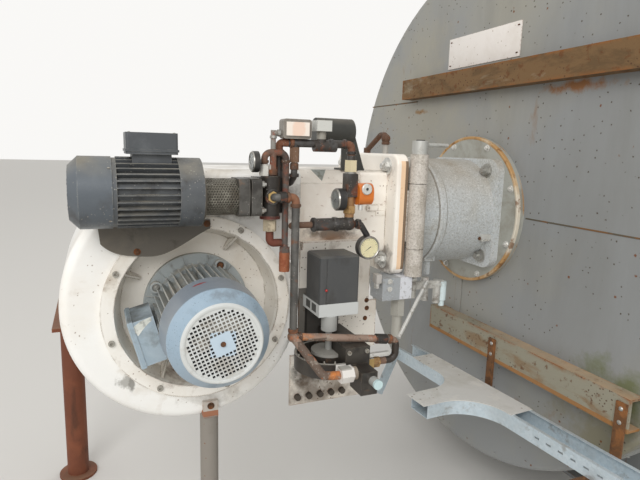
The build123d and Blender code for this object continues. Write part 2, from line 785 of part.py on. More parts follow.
save("burner_ring", burner_ring())
save("mounting_flange", mounting_flange())
save("blast_tube", blast_tube())
save("rear_flange", rear_flange())
save("hinge_knuckles", hinge_knuckles())
save("hinge_pin", hinge_pin())


def burner_housing():
    """Cast air housing: chamfered duct from the scroll, square end at the rear flange, small lug."""
    middle = axis_z + (HOUSING_TOP + HOUSING_BOTTOM) / 2
    height = HOUSING_TOP - HOUSING_BOTTOM
    x_end = x_house - HOUSING_END_L
    duct = Plane.YZ.offset(x_mouth) * Pos(0, middle) * Rectangle(2 * HOUSING_HALF_W, height)
    duct = extrude(chamfer(duct.vertices(), HOUSING_CHAMFER), x_house - x_mouth)
    end = rounded_plate_x(x_end, x_house, 0, middle, 2 * HOUSING_HALF_W, height, HOUSING_END_R)
    end = fillet(end.edges().group_by(Axis.X)[0], HOUSING_END_R / 2)
    y0 = -HOUSING_HALF_W - EYE_T
    z_eye = axis_z + EYE_UP
    x_eye = x_end + EYE_L
    lug = block(x_eye, x_eye + EYE_L, y0, -HOUSING_HALF_W, z_eye - EYE_R, z_eye + EYE_R)
    lug += rod_y(x_eye, y0, -HOUSING_HALF_W, z_eye, EYE_R)
    lug -= rod_y(x_eye, y0 - 1, -HOUSING_HALF_W, z_eye, EYE_R / 3)
    return duct + end + lug


def scroll_outline():
    """Volute of quarter arcs that shrink by one step each turn, from the outlet's top to the tongue."""
    step = SCROLL_STEP
    top = FAN_DROP + HOUSING_TOP
    bottom = FAN_DROP + HOUSING_BOTTOM
    x, y, r = step / 2, step / 2, top - step / 2
    edges = [Line((SCROLL_MOUTH, top), (x, top))]
    for i, (dx, dy) in enumerate(((-step, 0), (0, -step), (step, 0))):
        edges.append(CenterArc((x, y), r, 90 * (i + 1), 90))
        x, y, r = x + dx, y + dy, r - step
    lift = degrees(asin((bottom - y) / r))
    edges.append(CenterArc((x, y), r, 0, lift))
    edges.append(Polyline(edges[-1] @ 1, (SCROLL_MOUTH, bottom), (SCROLL_MOUTH, top)))
    return make_face(Curve() + edges)


scroll_bottom = FAN_DROP + HOUSING_TOP - 2 * SCROLL_STEP
scroll_right = FAN_DROP + HOUSING_TOP - 3 * SCROLL_STEP


def fan_scroll():
    depth = SCROLL_NEAR + HOUSING_HALF_W
    plane = Plane(origin=(x_fan, -SCROLL_NEAR, z_fan), x_dir=(1, 0, 0), z_dir=(0, -1, 0))
    body = extrude(plane * scroll_outline(), -depth)
    rim = [
        edge
        for edge in body.edges().group_by(Axis.Y)[0]
        if edge.geom_type == GeomType.CIRCLE or edge.center().Z > axis_z + HOUSING_TOP - 1
    ]
    body = fillet(rim, SCROLL_EDGE_R)
    y_pocket = y_cover + DISH_DEPTH + DISH_T + POCKET_GAP
    return body - rod_y(x_fan, -SCROLL_NEAR - 1, y_pocket, z_fan, COVER_MOUTH_R + 2)


y_floor = y_cover + DISH_DEPTH


def scroll_cover():
    """Dished cover that carries the fan motor, with tapered ribs in the dish."""
    mouth = COVER_MOUTH_R - DISH_T
    outline = [
        (0, y_floor),
        (DISH_FLOOR_R, y_floor),
        (mouth, y_cover),
        (COVER_R, y_cover),
        (COVER_R, -SCROLL_NEAR),
        (COVER_MOUTH_R, -SCROLL_NEAR),
        (DISH_FLOOR_R + DISH_T, y_floor + DISH_T),
        (0, y_floor + DISH_T),
    ]
    cover = turned_y(outline, x_fan, z_fan)
    r0 = FAN_FLANGE_R + DISH_RIB_IN
    profile = [
        (r0, y_floor + 1),
        (r0, y_floor - DISH_RIB_T),
        (mouth, y_cover + COVER_T),
        (mouth + 2, y_cover + COVER_T + 2),
        (DISH_FLOOR_R + 2, y_floor + 1),
    ]
    rib = extrude(make_face(Polyline(*profile, close=True)), DISH_RIB_T / 2, both=True)
    for i in range(DISH_RIBS):
        cover += Pos(x_fan, 0, z_fan) * Rot(0, DISH_TURN + 360 * i / DISH_RIBS, 0) * rib
    return cover


y_body = y_floor - FAN_FLANGE_T
y_fins = y_body - FAN_SHIELD_L
y_cowl = y_body - FAN_BODY_L


def fan_motor_body():
    """Flange with bolt bosses, end shield, finned frame."""
    body = rod_y(x_fan, y_body, y_floor, z_fan, FAN_FLANGE_R)
    body += rod_y(x_fan, y_fins, y_body, z_fan, FAN_SHIELD_R)
    body += rod_y(x_fan, y_cowl, y_fins, z_fan, FAN_CORE_R)
    shield = y_cowl + 2 * COWL_LAP
    body += rod_y(x_fan, y_cowl, shield, z_fan, FAN_COWL_R - COWL_WALL)
    body += fins_about_y(x_fan, shield - 1, y_fins + 1, z_fan, FAN_CORE_R - 3, FAN_FIN_R, FAN_FINS, FIN_T)
    boss = rod_y(FAN_BOLT_R, y_body - FAN_BOSS_L, y_body + 1, 0, FAN_BOSS_R)
    boss += block(FAN_SHIELD_R - FAN_BOSS_R, FAN_BOLT_R, y_body - FAN_BOSS_L, y_body + 1, -FIN_T, FIN_T)
    body += [Pos(x_fan, 0, z_fan) * Rot(0, DISH_TURN + 90 * i, 0) * boss for i in range(4)]
    return body


def grille():
    """Round disc with a square pattern of square holes round a blank middle."""
    disc = Circle(GRILLE_R + GRILLE_PITCH)
    reach = int(GRILLE_R / GRILLE_PITCH)
    holes = []
    for i in range(-reach, reach + 1):
        for j in range(-reach, reach + 1):
            x = i * GRILLE_PITCH
            y = j * GRILLE_PITCH
            blank = abs(i) <= GRILLE_BLANK and abs(j) <= GRILLE_BLANK
            if x * x + y * y < (GRILLE_R - GRILLE_HOLE / 2) ** 2 and not blank:
                holes.append(Pos(x, y) * Rectangle(GRILLE_HOLE, GRILLE_HOLE))
    return Rot(0, 0, GRILLE_TURN) * (disc - holes)


def fan_motor_cowl():
    """Pressed cowl over the motor's own fan, with the air grille in its nose."""
    lip = y_cowl + COWL_LAP
    side = y_cowl - FAN_COWL_L
    nose = side - FAN_NOSE_L
    r = FAN_COWL_R
    r_side = r - FAN_COWL_TAPER
    outline = [
        (r, lip),
        (r_side, side),
        (FAN_NOSE_R, nose),
        (GRILLE_R + 1, nose),
        (GRILLE_R + 1, nose + COWL_WALL),
        (FAN_NOSE_R - 2, nose + COWL_WALL),
        (r_side - COWL_WALL, side + 1),
        (r - COWL_WALL, y_cowl),
        (r - COWL_WALL, lip),
    ]
    plane = Plane(origin=(x_fan, nose, z_fan), x_dir=(1, 0, 0), z_dir=(0, -1, 0))
    return turned_y(outline, x_fan, z_fan) + extrude(plane * grille(), -COWL_WALL)


def fan_terminal_box():
    """Box on the motor's side with a raised lid."""
    half = FAN_BOX_W / 2
    y0 = y_body - FAN_BOX_BACK
    y1 = y0 + FAN_BOX_L
    z1 = FAN_FIN_R + FAN_BOX_H
    box = block(-half, half, y0, y1, FAN_FIN_R - 2, z1)
    lip = FAN_BOX_LIP
    lid = block(-half - lip, half + lip, y0 - lip, y1 + lip, z1, z1 + FAN_BOX_LID)
    lid = chamfer(lid.edges().group_by(Axis.Z)[-1], lip)
    return Pos(x_fan, 0, z_fan) * Rot(0, FAN_BOX_TURN, 0) * (box + lid) - fan_body


fan_body = fan_motor_body()
save("burner_housing", burner_housing())
save("fan_scroll", fan_scroll())
save("scroll_cover", scroll_cover())
save("fan_motor_body", fan_body)
save("fan_motor_cowl", fan_motor_cowl())
save("fan_terminal_box", fan_terminal_box())

x_motor = x_fan - PUMP_FROM_FAN
x_pump_cowl = x_motor - PUMP_BODY_L
x_guard = x_motor + GUARD_L
x_pump = x_guard + 2 * SQUARE_T + SQUARE_JOINT
x_upright = x_pump + PUMP_AHEAD
z_guard = z_pump - GUARD_DROP


def pump_motor_body():
    """Finned frame with its drive end shield and two feet on the bracket."""
    x_shield = x_motor - PUMP_SHIELD_L
    body = rod_x(x_pump_cowl, x_motor, PUMP_Y, z_pump, PUMP_CORE_R)
    body += rod_x(x_shield, x_motor, PUMP_Y, z_pump, PUMP_MOTOR_R)
    x_fins = x_pump_cowl + 2 * COWL_LAP
    body += rod_x(x_pump_cowl, x_fins, PUMP_Y, z_pump, PUMP_MOTOR_R - COWL_WALL)
    inner = PUMP_CORE_R - 3
    body += fins_about_x(x_fins, x_shield, PUMP_Y, z_pump, inner, PUMP_MOTOR_R, PUMP_FINS, PUMP_FIN_T)
    for x in (x_fins + PUMP_FOOT_W, x_shield - PUMP_FOOT_W):
        half = PUMP_FOOT_W / 2
        y0 = PUMP_Y + PUMP_CORE_R - PUMP_FOOT_W / 2
        y1 = y_cover - BRACKET_T
        body += block(x - half, x + half, y0, y1, z_pump - PUMP_CORE_R, z_pump - BRACKET_UNDER)
    return body


def pump_motor_cowl():
    x0 = x_pump_cowl - PUMP_COWL_L
    x1 = x_pump_cowl + COWL_LAP
    r = PUMP_MOTOR_R
    edge = PUMP_COWL_EDGE
    outline = [
        (x1, r),
        (x0 + edge, r),
        (x0, r - edge),
        (x0, 0),
        (x0 + COWL_WALL, 0),
        (x0 + COWL_WALL, r - edge - 2),
        (x0 + edge + 1, r - COWL_WALL),
        (x1, r - COWL_WALL),
    ]
    return turned_x(outline, PUMP_Y, z_pump)


def pump_terminal_box():
    """Box on a pedestal on top of the motor, with its lid's edge."""
    x0 = x_motor - PUMP_BOX_BACK
    x1 = x0 + PUMP_BOX_L
    half = PUMP_BOX_W / 2
    z0 = z_pump + PUMP_CORE_R + PUMP_BOX_FOOT_H
    z1 = z_pump + PUMP_BOX_TOP
    lid = 2 * COWL_WALL
    box = block(x0, x1, PUMP_Y - half, PUMP_Y + half, z0, z1)
    box = fillet(box.edges().filter_by(Axis.Z), lid)
    box += block(x0 - 2, x1 + 2, PUMP_Y - half - 2, PUMP_Y + half + 2, z0 + lid, z0 + 2 * lid)
    inset = PUMP_BOX_INSET
    box += block(x0 + inset, x1 - inset, PUMP_Y - half + inset, PUMP_Y + half - inset, z_pump, z0)
    return box - pump_body


def pump_bracket():
    """Plate over the cover's rim that carries the motor's feet, with a curved lower edge."""
    lower = [(x_fan + x, z_fan + z) for x, z in BRACKET_EDGE]
    x1 = x_motor + BRACKET_T
    z0 = z_fan + BRACKET_TAIL
    z1 = z_pump - BRACKET_UNDER
    rest = [lower[-1], (lower[-1][0], z0), (x1, z0), (x1, z1), (x_motor - BRACKET_L, z1), lower[0]]
    plate = Plane.XZ.offset(-y_cover) * make_face(Spline(*lower) + Polyline(*rest))
    return extrude(plate, BRACKET_T)


def coupling_guard():
    x1 = x_motor + GUARD_FLANGE_T
    outline = [
        (x_motor, 0),
        (x_motor, GUARD_FLANGE_R),
        (x1, GUARD_FLANGE_R),
        (x1, GUARD_R),
        (x_guard, GUARD_R),
        (x_guard, 0),
    ]
    return turned_x(outline, PUMP_Y, z_guard)


def oil_pump():
    """Two square flanges, the casing, the upright cylinder and the drain fittings under it."""
    x_joint = x_guard + SQUARE_T
    body = rounded_plate_x(x_guard, x_joint, PUMP_Y, z_guard, SQUARE_SIDE, SQUARE_SIDE, SQUARE_CORNER)
    x1 = x_joint + SQUARE_JOINT
    body += rod_x(x_joint, x1, PUMP_Y, z_guard, GUARD_R - SQUARE_JOINT)
    body += rounded_plate_x(x1, x_pump, PUMP_Y, z_guard, SQUARE_SIDE, SQUARE_SIDE, SQUARE_CORNER)
    z0 = axis_z + PUMP_LOW
    z1 = axis_z + PUMP_HIGH
    body += rod_z(x_upright, PUMP_Y, z0, z1, PUMP_R)
    x2 = x_upright + PUMP_R + LOOP_NUT_R
    z_case = z0 + SQUARE_JOINT
    y0 = PUMP_Y + PUMP_CASE_BACK
    body += block(x_pump, x2, y0, y0 + PUMP_CASE_D, z_case, z1 - SQUARE_JOINT)
    body += rod_z(x_upright, PUMP_Y, z0 - PUMP_RING_T, z0, PUMP_RING_R)
    z2 = z0 - PUMP_RING_T
    body += hex_z(x_upright, PUMP_Y, z2 - PUMP_DRAIN_L, z2, PUMP_DRAIN_R)
    drain = [
        (x_upright, PUMP_Y, z2 - PUMP_DRAIN_L),
        (x_upright, PUMP_Y, z2 - 2 * PUMP_DRAIN_L),
        (x_upright + PUMP_DRAIN_L, PUMP_Y, z2 - 2 * PUMP_DRAIN_L),
    ]
    return body + pipe(drain, PIPE_R, PIPE_R + 2)


pump_body = pump_motor_body()
save("pump_motor_body", pump_body)
save("pump_motor_cowl", pump_motor_cowl())
save("pump_terminal_box", pump_terminal_box())
save("pump_bracket", pump_bracket())
save("coupling_guard", coupling_guard())
save("oil_pump", oil_pump())

x_loop = x_upright + LOOP_RIGHT
x_riser = x_upright + RISER_AHEAD
x_upper = x_upright + UPPER_PIPE_AHEAD
x_tee = x_upright + UPPER_TEE_AHEAD
x_stack = x_house - STACK_BACK
y_riser = PIPE_Y - RISER_OUT
z_pump_top = axis_z + PUMP_HIGH
z_upper = axis_z + UPPER_PIPE_UP
z_branch = axis_z + BRANCH_UP


def loop_pipe():
    """Inverted loop on the pump's top: nut and bend left, stub in the middle, hose nipple right."""
    x0 = x_upright - LOOP_LEFT
    z1 = axis_z + LOOP_TOP
    z_low = axis_z + NIPPLE_TOP
    path = [(x0, PIPE_Y, z_pump_top), (x0, PIPE_Y, z1), (x_loop, PIPE_Y, z1), (x_loop, PIPE_Y, z_low)]
    body = pipe(path, LOOP_R, 2 * LOOP_R)
    body += rod_z(x_upright + VENT_R, PIPE_Y, z_pump_top, z1, LOOP_R)
    body += rod_z(x_upright + VENT_R, PIPE_Y, z1, axis_z + VENT_TOP, VENT_R)
    body += hex_z(x0, PIPE_Y, z_pump_top, z_pump_top + 2 * LOOP_NUT_R, LOOP_NUT_R)
    body += hex_z(x_loop, PIPE_Y, z_low, z_low + NIPPLE_R, NIPPLE_R)
    return body + rod_z(x_loop, PIPE_Y, axis_z + NIPPLE_LOW, z_low, NIPPLE_R) - pump_solid


def small_gauge():
    """Gauge on the loop's left bend, its face towards -X."""
    x1 = x_upright - LOOP_LEFT - LOOP_R
    z = z_pump_top + 2 * LOOP_NUT_R + LOOP_R
    x0 = x1 - LOOP_R
    return rod_x(x0 - SMALL_GAUGE_T, x0, PIPE_Y, z, SMALL_GAUGE_R) + rod_x(x0, x1, PIPE_Y, z, VENT_R)


def delivery_pipe():
    """From the pump's front, across and down to the lower tee."""
    z = z_guard
    z1 = axis_z + RISER_LOW
    path = [(x_upright, PIPE_Y, z), (x_upright, y_riser, z), (x_riser, y_riser, z), (x_riser, y_riser, z1)]
    body = pipe(path, PIPE_R, PIPE_R + 1)
    y0 = PIPE_Y - PUMP_R
    face = Plane(origin=(x_upright, y0, z), z_dir=(0, -1, 0)) * RegularPolygon(LOOP_NUT_R + 2, 6)
    return body + extrude(face, LOOP_NUT_R / 2) - rod_z(x_upright, PIPE_Y, axis_z, z_pump_top, PUMP_R)


def upper_pipe():
    """From the pump's top to the valve stack, with the tee leg back to the pump and the plug's neck."""
    z_case = z_pump_top - SQUARE_JOINT
    path = [
        (x_upper, PIPE_Y + PUMP_R, z_case),
        (x_upper, PIPE_Y + PUMP_R, z_upper),
        (x_tee, PIPE_Y, z_upper),
        (x_stack, PIPE_Y, z_upper),
        (x_stack, PIPE_Y, axis_z + STACK_TOP),
    ]
    body = pipe(path, PIPE_R, PIPE_R + 1)
    y_case = PIPE_Y + PUMP_CASE_BACK + PIPE_BEND
    z_leg = axis_z + UPPER_TEE_LOW
    leg = [
        (x_tee, PIPE_Y, z_upper),
        (x_tee, PIPE_Y, z_leg + PIPE_BEND),
        (x_tee, y_case, z_leg),
        (x_upright + PUMP_R, y_case, z_leg),
    ]
    body += pipe(leg, LOOP_R, LOOP_R + 2)
    body += hex_z(x_tee, PIPE_Y, axis_z + HEX_BAR_LOW, z_upper - PIPE_R, HEX_BAR_R)
    x_plug = x_riser + PLUG_AHEAD
    body += rod_x(x_plug - PLUG_SIDE / 2, x_plug + PLUG_SIDE, PIPE_Y, z_upper - VENT_R, PIPE_R + 4)
    z0 = z_upper + PIPE_R + PLUG_NECK
    body += rod_z(x_plug, PIPE_Y, z_upper, z0, PIPE_R + 2)
    half = PLUG_SIDE / 2
    body += block(x_plug - half, x_plug + half, PIPE_Y - half, PIPE_Y + half, z0, z0 + PLUG_H)
    return body - pump_solid


def pressure_switch():
    """Rounded switch box on the upper pipe."""
    x0 = x_riser - SWITCH_BACK
    z0 = z_upper + PIPE_R
    y1 = PIPE_Y + SWITCH_D / 2
    box = block(x0, x0 + SWITCH_L, y1 - SWITCH_D, y1, z0, z0 + SWITCH_H)
    box = fillet(box.edges().filter_by(Axis.Y), SWITCH_CORNER)
    face = block(
        x0 + SWITCH_CORNER,
        x0 + SWITCH_L - SWITCH_CORNER,
        y1 - SWITCH_D - 4,
        y1 - SWITCH_D + 1,
        z0 + SWITCH_CORNER,
        z0 + SWITCH_H - SWITCH_CORNER,
    )
    arm = rod_x(x_upright + VENT_R, x0 + 1, PIPE_Y, axis_z + VENT_TOP - VENT_R, VENT_R)
    return box + face + arm - loop_solid


def nozzle_manifold():
    """Union nut, valve block, brass neck and the thick branch back to the riser."""
    half = VALVE_SIDE / 2
    z1 = axis_z + STACK_TOP
    z2 = z1 - VALVE_SIDE
    body = hex_z(x_stack, PIPE_Y, z2, z1, HEX_BAR_R + 5)
    z3 = z2 - SQUARE_JOINT
    body += rod_z(x_stack, PIPE_Y, z3, z2, HEX_BAR_R)
    z4 = z3 - 2 * VALVE_SIDE
    body += block(x_stack - half, x_stack + half, PIPE_Y - half, PIPE_Y + half, z4, z3)
    body += rod_z(x_stack, PIPE_Y, z_branch, z4, HEX_BAR_R)
    thick = HEX_BAR_R + 4
    body += Pos(x_stack, PIPE_Y, z_branch) * Sphere(thick + 2)
    x0 = x_riser + BRANCH_THIN
    body += rod_x(x0, x_stack, PIPE_Y, z_branch, thick)
    back = [(x_riser, y_riser, z_branch), (x_riser, PIPE_Y, z_branch), (x0, PIPE_Y, z_branch)]
    body += pipe(back, LOOP_R, LOOP_R + 2)
    return body - rod_z(x_riser, y_riser, axis_z + RISER_LOW, z_pump, PIPE_R)


def side_gauge():
    """Gauge under the valve block, its face towards the pump."""
    z = axis_z + SIDE_GAUGE_UP
    x0 = x_stack - VALVE_SIDE / 2 - SQUARE_JOINT
    body = rod_x(x0 - SIDE_GAUGE_T, x0, PIPE_Y, z, SIDE_GAUGE_R)
    return body + rod_x(x0, x_stack, PIPE_Y, z, VENT_R) - manifold


def solenoid_valve():
    """Coil with a round back on the valve block and its nut at the end."""
    x0 = x_stack + VALVE_SIDE / 2
    x1 = x0 + COIL_L
    z = axis_z + COIL_UP
    half = COIL_SIDE / 2
    face = Plane.YZ.offset(x0) * Pos(PIPE_Y, z) * RectangleRounded(COIL_SIDE, COIL_SIDE, half - 8)
    return extrude(face, COIL_L) + rod_x(x1, x1 + COIL_NUT_R / 2, PIPE_Y, z, COIL_NUT_R)


def dial_gauge():
    """Gauge towards -Y on a bent stem from the branch."""
    x = x_stack + DIAL_AHEAD
    z = axis_z + DIAL_UP
    thick = HEX_BAR_R + 6
    y = PIPE_Y
    body = rod_y(x, y - DIAL_OUT, y - DIAL_OUT + DIAL_T, z, DIAL_R)
    z0 = z_branch - 2
    path = [(x_stack + thick, y, z0), (x_stack + thick + 18, y, z0), (x, y, z + DIAL_R - 2)]
    stem = pipe(path, LOOP_R, LOOP_R)
    return body + stem - Pos(x_stack, PIPE_Y, z_branch) * Sphere(thick)


def valve_actuator():
    """Black cylinder on a bent bracket that stands on the housing."""
    x = x_house - ACTUATOR_BACK
    z = axis_z + ACTUATOR_UP
    foot = axis_z + HOUSING_TOP
    half = ACTUATOR_FOOT_W / 2
    x1 = x + ACTUATOR_L / 2
    body = rod_x(x - ACTUATOR_L / 2, x1, ACTUATOR_Y, z, ACTUATOR_R)
    y0 = ACTUATOR_Y - half
    y1 = ACTUATOR_Y + half
    t = ACTUATOR_PLATE_T
    body += block(x1 - t, x1, y0, y1, foot, z)
    spread = ACTUATOR_FOOT_L / 2
    side = [(x1 - ACTUATOR_R, z), (x1, z), (x1 + spread, foot), (x1 - spread, foot)]
    web = Plane.XZ.offset(-y0) * make_face(Polyline(*side, close=True))
    body += extrude(web, -t)
    return body + block(x1 - spread, x1 + spread, y0, y1, foot, foot + t)


def tapping_pipe():
    """Air tapping on the rear flange's top: stub, elbow and the pipe back down to the flange."""
    x = x_flange - REAR_FLANGE_T / 2
    z0 = axis_z + REAR_FLANGE_UP + REAR_FLANGE_H / 2
    z1 = axis_z + TAPPING_TOP
    y1 = TAPPING_Y + TAPPING_REACH
    elbow = TAPPING_R + 3
    path = [(x, TAPPING_Y, z0), (x, TAPPING_Y, z1), (x, TAPPING_Y + 3 * elbow, z1), (x, y1, z0 + TAPPING_R)]
    body = pipe(path, TAPPING_R, elbow)
    body += Pos(x, TAPPING_Y, z1 - elbow) * Sphere(TAPPING_R + 6)
    return body + rod_z(x, y1, z0, z0 + 2 * TAPPING_R, elbow)


x_plate = x_fan + scroll_right + PLATE_GAP
x_servo = x_plate + SERVO_IN
x_reg = x_plate + REG_IN
x_cam = x_servo + CAM_IN
y_cam = PLATE_Y - CAM_OUT


def equipment_plate():
    """Plate hung under the housing on a rib, with a row of cable glands along its foot."""
    x1 = x_house - PLATE_FROM_FLANGE
    y1 = PLATE_Y + PLATE_T
    plate = block(x_plate, x1, PLATE_Y, y1, axis_z + PLATE_LOW, axis_z + PLATE_TOP)
    z_step = axis_z + PLATE_STEP
    plate += block(x_plate - PLATE_STEP_W, x_plate + 1, PLATE_Y, y1, axis_z + PLATE_LOW, z_step)
    plate += block(x1 - 1, x1 + PLATE_WING_W, PLATE_Y, y1, z_step, axis_z + PLATE_WING_TOP)
    z_rib = axis_z + HOUSING_BOTTOM
    plate += block(x_plate + PLATE_T, x1, y1, -HOUSING_HALF_W, z_rib, axis_z + PLATE_TOP)
    top = z_rib + HOUSING_CHAMFER
    plate += block(x_plate + PLATE_T, x1, y1, -HOUSING_HALF_W, top, top + PLATE_T)
    plate += block(x_plate + PLATE_T, x1, PLATE_Y, y1, z_rib, top + PLATE_T)
    for i in range(GLAND_COUNT):
        x = x_plate + i * GLAND_PITCH
        plate += rod_y(x, PLATE_Y - GLAND_L, PLATE_Y, axis_z + GLAND_UP, GLAND_R)
    return plate


def servo_motor():
    """Damper drive: grooved plastic hood on a cast base, with the shaft down to the cam."""
    x1 = x_servo + SERVO_W
    y0 = PLATE_Y - SERVO_D - SERVO_GROOVE
    z1 = axis_z + SERVO_HIGH
    z2 = axis_z + SERVO_SPLIT
    z3 = axis_z + SERVO_LOW
    hood = block(x_servo, x1, y0, PLATE_Y - SERVO_BACK, z2, z1)
    hood = fillet(hood.edges().filter_by(Axis.Z), SERVO_CORNER)
    hood = chamfer(hood.edges().group_by(Axis.Z)[-1], SERVO_GROOVE)
    x_groove = x_servo + SERVO_W / 7
    hood -= block(x_groove, x_groove + SERVO_GROOVE, y0 - 1, y0 + 2, z2, z1 - SERVO_CORNER)
    base = block(x_servo, x1, y0, PLATE_Y, z3, z2)
    hub = rod_z(x_cam, y_cam, z3 - HUB_L, z3, HUB_R)
    shaft = rod_z(x_cam, y_cam, axis_z + CAM_HIGH + CAM_DISC_T, z3 - HUB_L, SHAFT_R)
    return hood + base + hub + shaft


def lower_pipes():
    """Cross pipe to the brass tee, and the slanted pipe to the regulator's union nut."""
    z0 = axis_z + RISER_LOW
    x_end = x_reg + CROSS_L
    y_end = y_riser - CROSS_OUT
    z_brass = axis_z + REG_LOW + PLATE_T
    path = [
        (x_riser, y_riser, z0),
        (x_end, y_end, z0 - CROSS_DROP),
        (x_end, y_end, z_brass),
        (x_reg + REG_L + BRASS_SIDE, y_end, z_brass),
    ]
    cross = pipe(path, PIPE_R, 2 * PIPE_R)
    tee = Pos(x_riser, y_riser, z0) * Sphere(PIPE_R + 5)
    z_nut = axis_z + REG_NOSE_UP
    x_nut = x_reg + REG_L - REG_NOSE_BACK - NUT_RING_L - NUT_L
    bend_x = x_nut - NUT_L
    slant = pipe(
        [
            (x_riser, y_riser, z0),
            (bend_x - PIPE_R, REG_NOSE_Y, axis_z + SLANT_BEND_Z),
            (bend_x + NUT_L, REG_NOSE_Y, z_nut),
            (x_nut + NUT_L, REG_NOSE_Y, z_nut),
        ],
        SLANT_R,
        [2 * PIPE_R, 2 * PIPE_R],
    )
    riser = rod_z(x_riser, y_riser, z0, z_pump, PIPE_R)
    return cross + slant + tee - riser - regulator


def oil_regulator():
    """Half cam with its disc, the regulator block and its nose with nut, tap and brass tee."""
    z_cam0 = axis_z + CAM_LOW
    z_cam1 = axis_z + CAM_HIGH
    x1 = x_reg + REG_L
    y0 = PLATE_Y - REG_OUT
    cam = rod_z(x_cam, y_cam, z_cam0, z_cam1, CAM_R)
    cam -= rod_z(x_cam, y_cam, z_cam0 + PLATE_T, z_cam1 + 1, CAM_R - PLATE_T)
    cam += rod_z(x_cam, y_cam, z_cam0, z_cam1 + CAM_DISC_T, CAM_DISC_R)
    wide = 2 * CAM_R
    cam -= block(x_reg, x_reg + wide, y_cam - wide, y_cam + wide, z_cam0 - 1, z_cam1 + 2 * CAM_DISC_T)
    body = cam + block(x_reg, x1, y0, PLATE_Y, axis_z + REG_LOW, axis_z + REG_HIGH)
    body += block(x_reg - 1, x1, y0, PLATE_Y, z_cam0, axis_z + REG_LOW)
    x_nose = x1 - REG_NOSE_BACK
    x2 = x_nose + REG_NOSE_L
    half = REG_NOSE_D / 2
    z_low = axis_z + REG_NOSE_LOW
    z_nose = axis_z + REG_NOSE_HIGH
    body += block(x_nose, x2, REG_NOSE_Y - half, REG_NOSE_Y + half, z_low, z_nose)
    z = axis_z + REG_NOSE_UP
    body += rod_x(x_nose - NUT_RING_L, x_nose, REG_NOSE_Y, z, NUT_R - 5)
    x_nut = x_nose - NUT_RING_L
    body += hex_x(x_nut - NUT_L, x_nut, REG_NOSE_Y, z, NUT_R)
    x_tap = x2 - TAP_R
    body += rod_y(x_tap, REG_NOSE_Y - half - TAP_L, REG_NOSE_Y - half, z - TAP_R, TAP_R)
    y_brass = y_riser - CROSS_OUT
    x3 = x2 + BRASS_SIDE
    side = BRASS_SIDE / 2
    z_brass = axis_z + REG_LOW + PLATE_T
    body += block(x1, x3, y_brass - side, y_brass + side, z_brass - side, z_brass + side)
    lever = block(x1, x3 + side, y_brass - 5, y_brass + 5, z_brass + side, z_brass + side + 8)
    return body + lever


def ignition_box():
    """Metal box under the rear flange: rough left part, smooth right part, hexagon outlet below."""
    z1 = axis_z + REAR_FLANGE_UP - REAR_FLANGE_H / 2
    z0 = z1 - BOX_H
    x0 = x_house - BOX_BEFORE
    x1 = x0 + BOX_L
    y1 = BOX_NEAR + BOX_D
    body = block(x0, x0 + BOX_SPLIT, BOX_NEAR, y1, z0, z1)
    body += block(x0 + BOX_SPLIT, x1, BOX_NEAR + 3, y1, z0, z1)
    x_nut = x0 + BOX_L * 0.75
    y_nut = BOX_NEAR + BOX_D / 2
    body += hex_z(x_nut, y_nut, z0 - BOX_NUT_L, z0, BOX_NUT_R)
    return body + rod_z(x_nut, y_nut, z0 - BOX_STUB_L, z0 - BOX_NUT_L, BOX_STUB_R)


def cable_couplings():
    """Upright couplings on a bar beside the metal box."""
    z1 = axis_z + HINGE_LOW - COUPLING_GAP
    x0 = x_house - BOX_BEFORE + BOX_L
    y0 = BOX_NEAR + BOX_D / 2
    bar_z = z1 - COUPLING_L / 2
    reach = COUPLING_PITCH * COUPLING_COUNT
    bar = block(x0, x0 + reach, y0 - 5, y0 + 5, bar_z - COUPLING_R, bar_z + COUPLING_R)
    for i in range(COUPLING_COUNT):
        x = x0 + COUPLING_PITCH * (i + 0.5)
        z0 = z1 - COUPLING_L - COUPLING_R * i
        bar += rod_z(x, y0, z0, z0 + COUPLING_L, COUPLING_R)
    return bar


pump_solid = oil_pump()
loop_solid = loop_pipe()
regulator = oil_regulator()
manifold = nozzle_manifold()
save("loop_pipe", loop_solid)
save("oil_regulator", regulator)
save("nozzle_manifold", manifold)
for make in (
    small_gauge,
    delivery_pipe,
    upper_pipe,
    pressure_switch,
    side_gauge,
    solenoid_valve,
    dial_gauge,
    valve_actuator,
    tapping_pipe,
    equipment_plate,
    servo_motor,
    lower_pipes,
    ignition_box,
    cable_couplings,
):
    save(make.__name__, make())


def front_post():
    """Tube post under the scroll with a small plate in front of the scroll's foot."""
    x = x_fan + FRONT_POST_AHEAD
    z1 = z_fan - scroll_bottom + FRONT_POST_LAP
    post = rod_z(x, FRONT_POST_Y, 0, z1, FRONT_POST_R)
    z0 = z_fan - scroll_bottom
    half = POST_BRACKET_W / 2
    y0 = -SCROLL_NEAR - POST_BRACKET_T
    post += block(x - half, x + half, y0, -SCROLL_NEAR, z0, z0 + POST_BRACKET_H)
    return post - fan_scroll()


def rear_post():
    """Tube post beside the scroll, with its foot ring and the bolted arm to the scroll's back."""
    x = x_fan - REAR_POST_BACK
    z1 = axis_z + REAR_POST_TOP
    bore = REAR_POST_R - REAR_POST_WALL
    post = rod_z(x, REAR_POST_Y, 0, z1, REAR_POST_R)
    post += rod_z(x, REAR_POST_Y, 0, REAR_POST_FOOT_T, REAR_POST_FOOT_R)
    post -= rod_z(x, REAR_POST_Y, -1, z1 - REAR_POST_CAP, bore)
    x0 = x - REAR_POST_R
    y1 = REAR_POST_Y + REAR_POST_R
    post += block(x0, x + ARM_L, HOUSING_HALF_W, y1, z1 - ARM_T, z1)
    x2 = x + ARM_L
    y0 = HOUSING_HALF_W
    return post + block(x2 - ARM_L / 2, x2, y0, y0 + ARM_T, z1 - ARM_PLATE_H, z1)


save("front_post", front_post())
save("rear_post", rear_post())
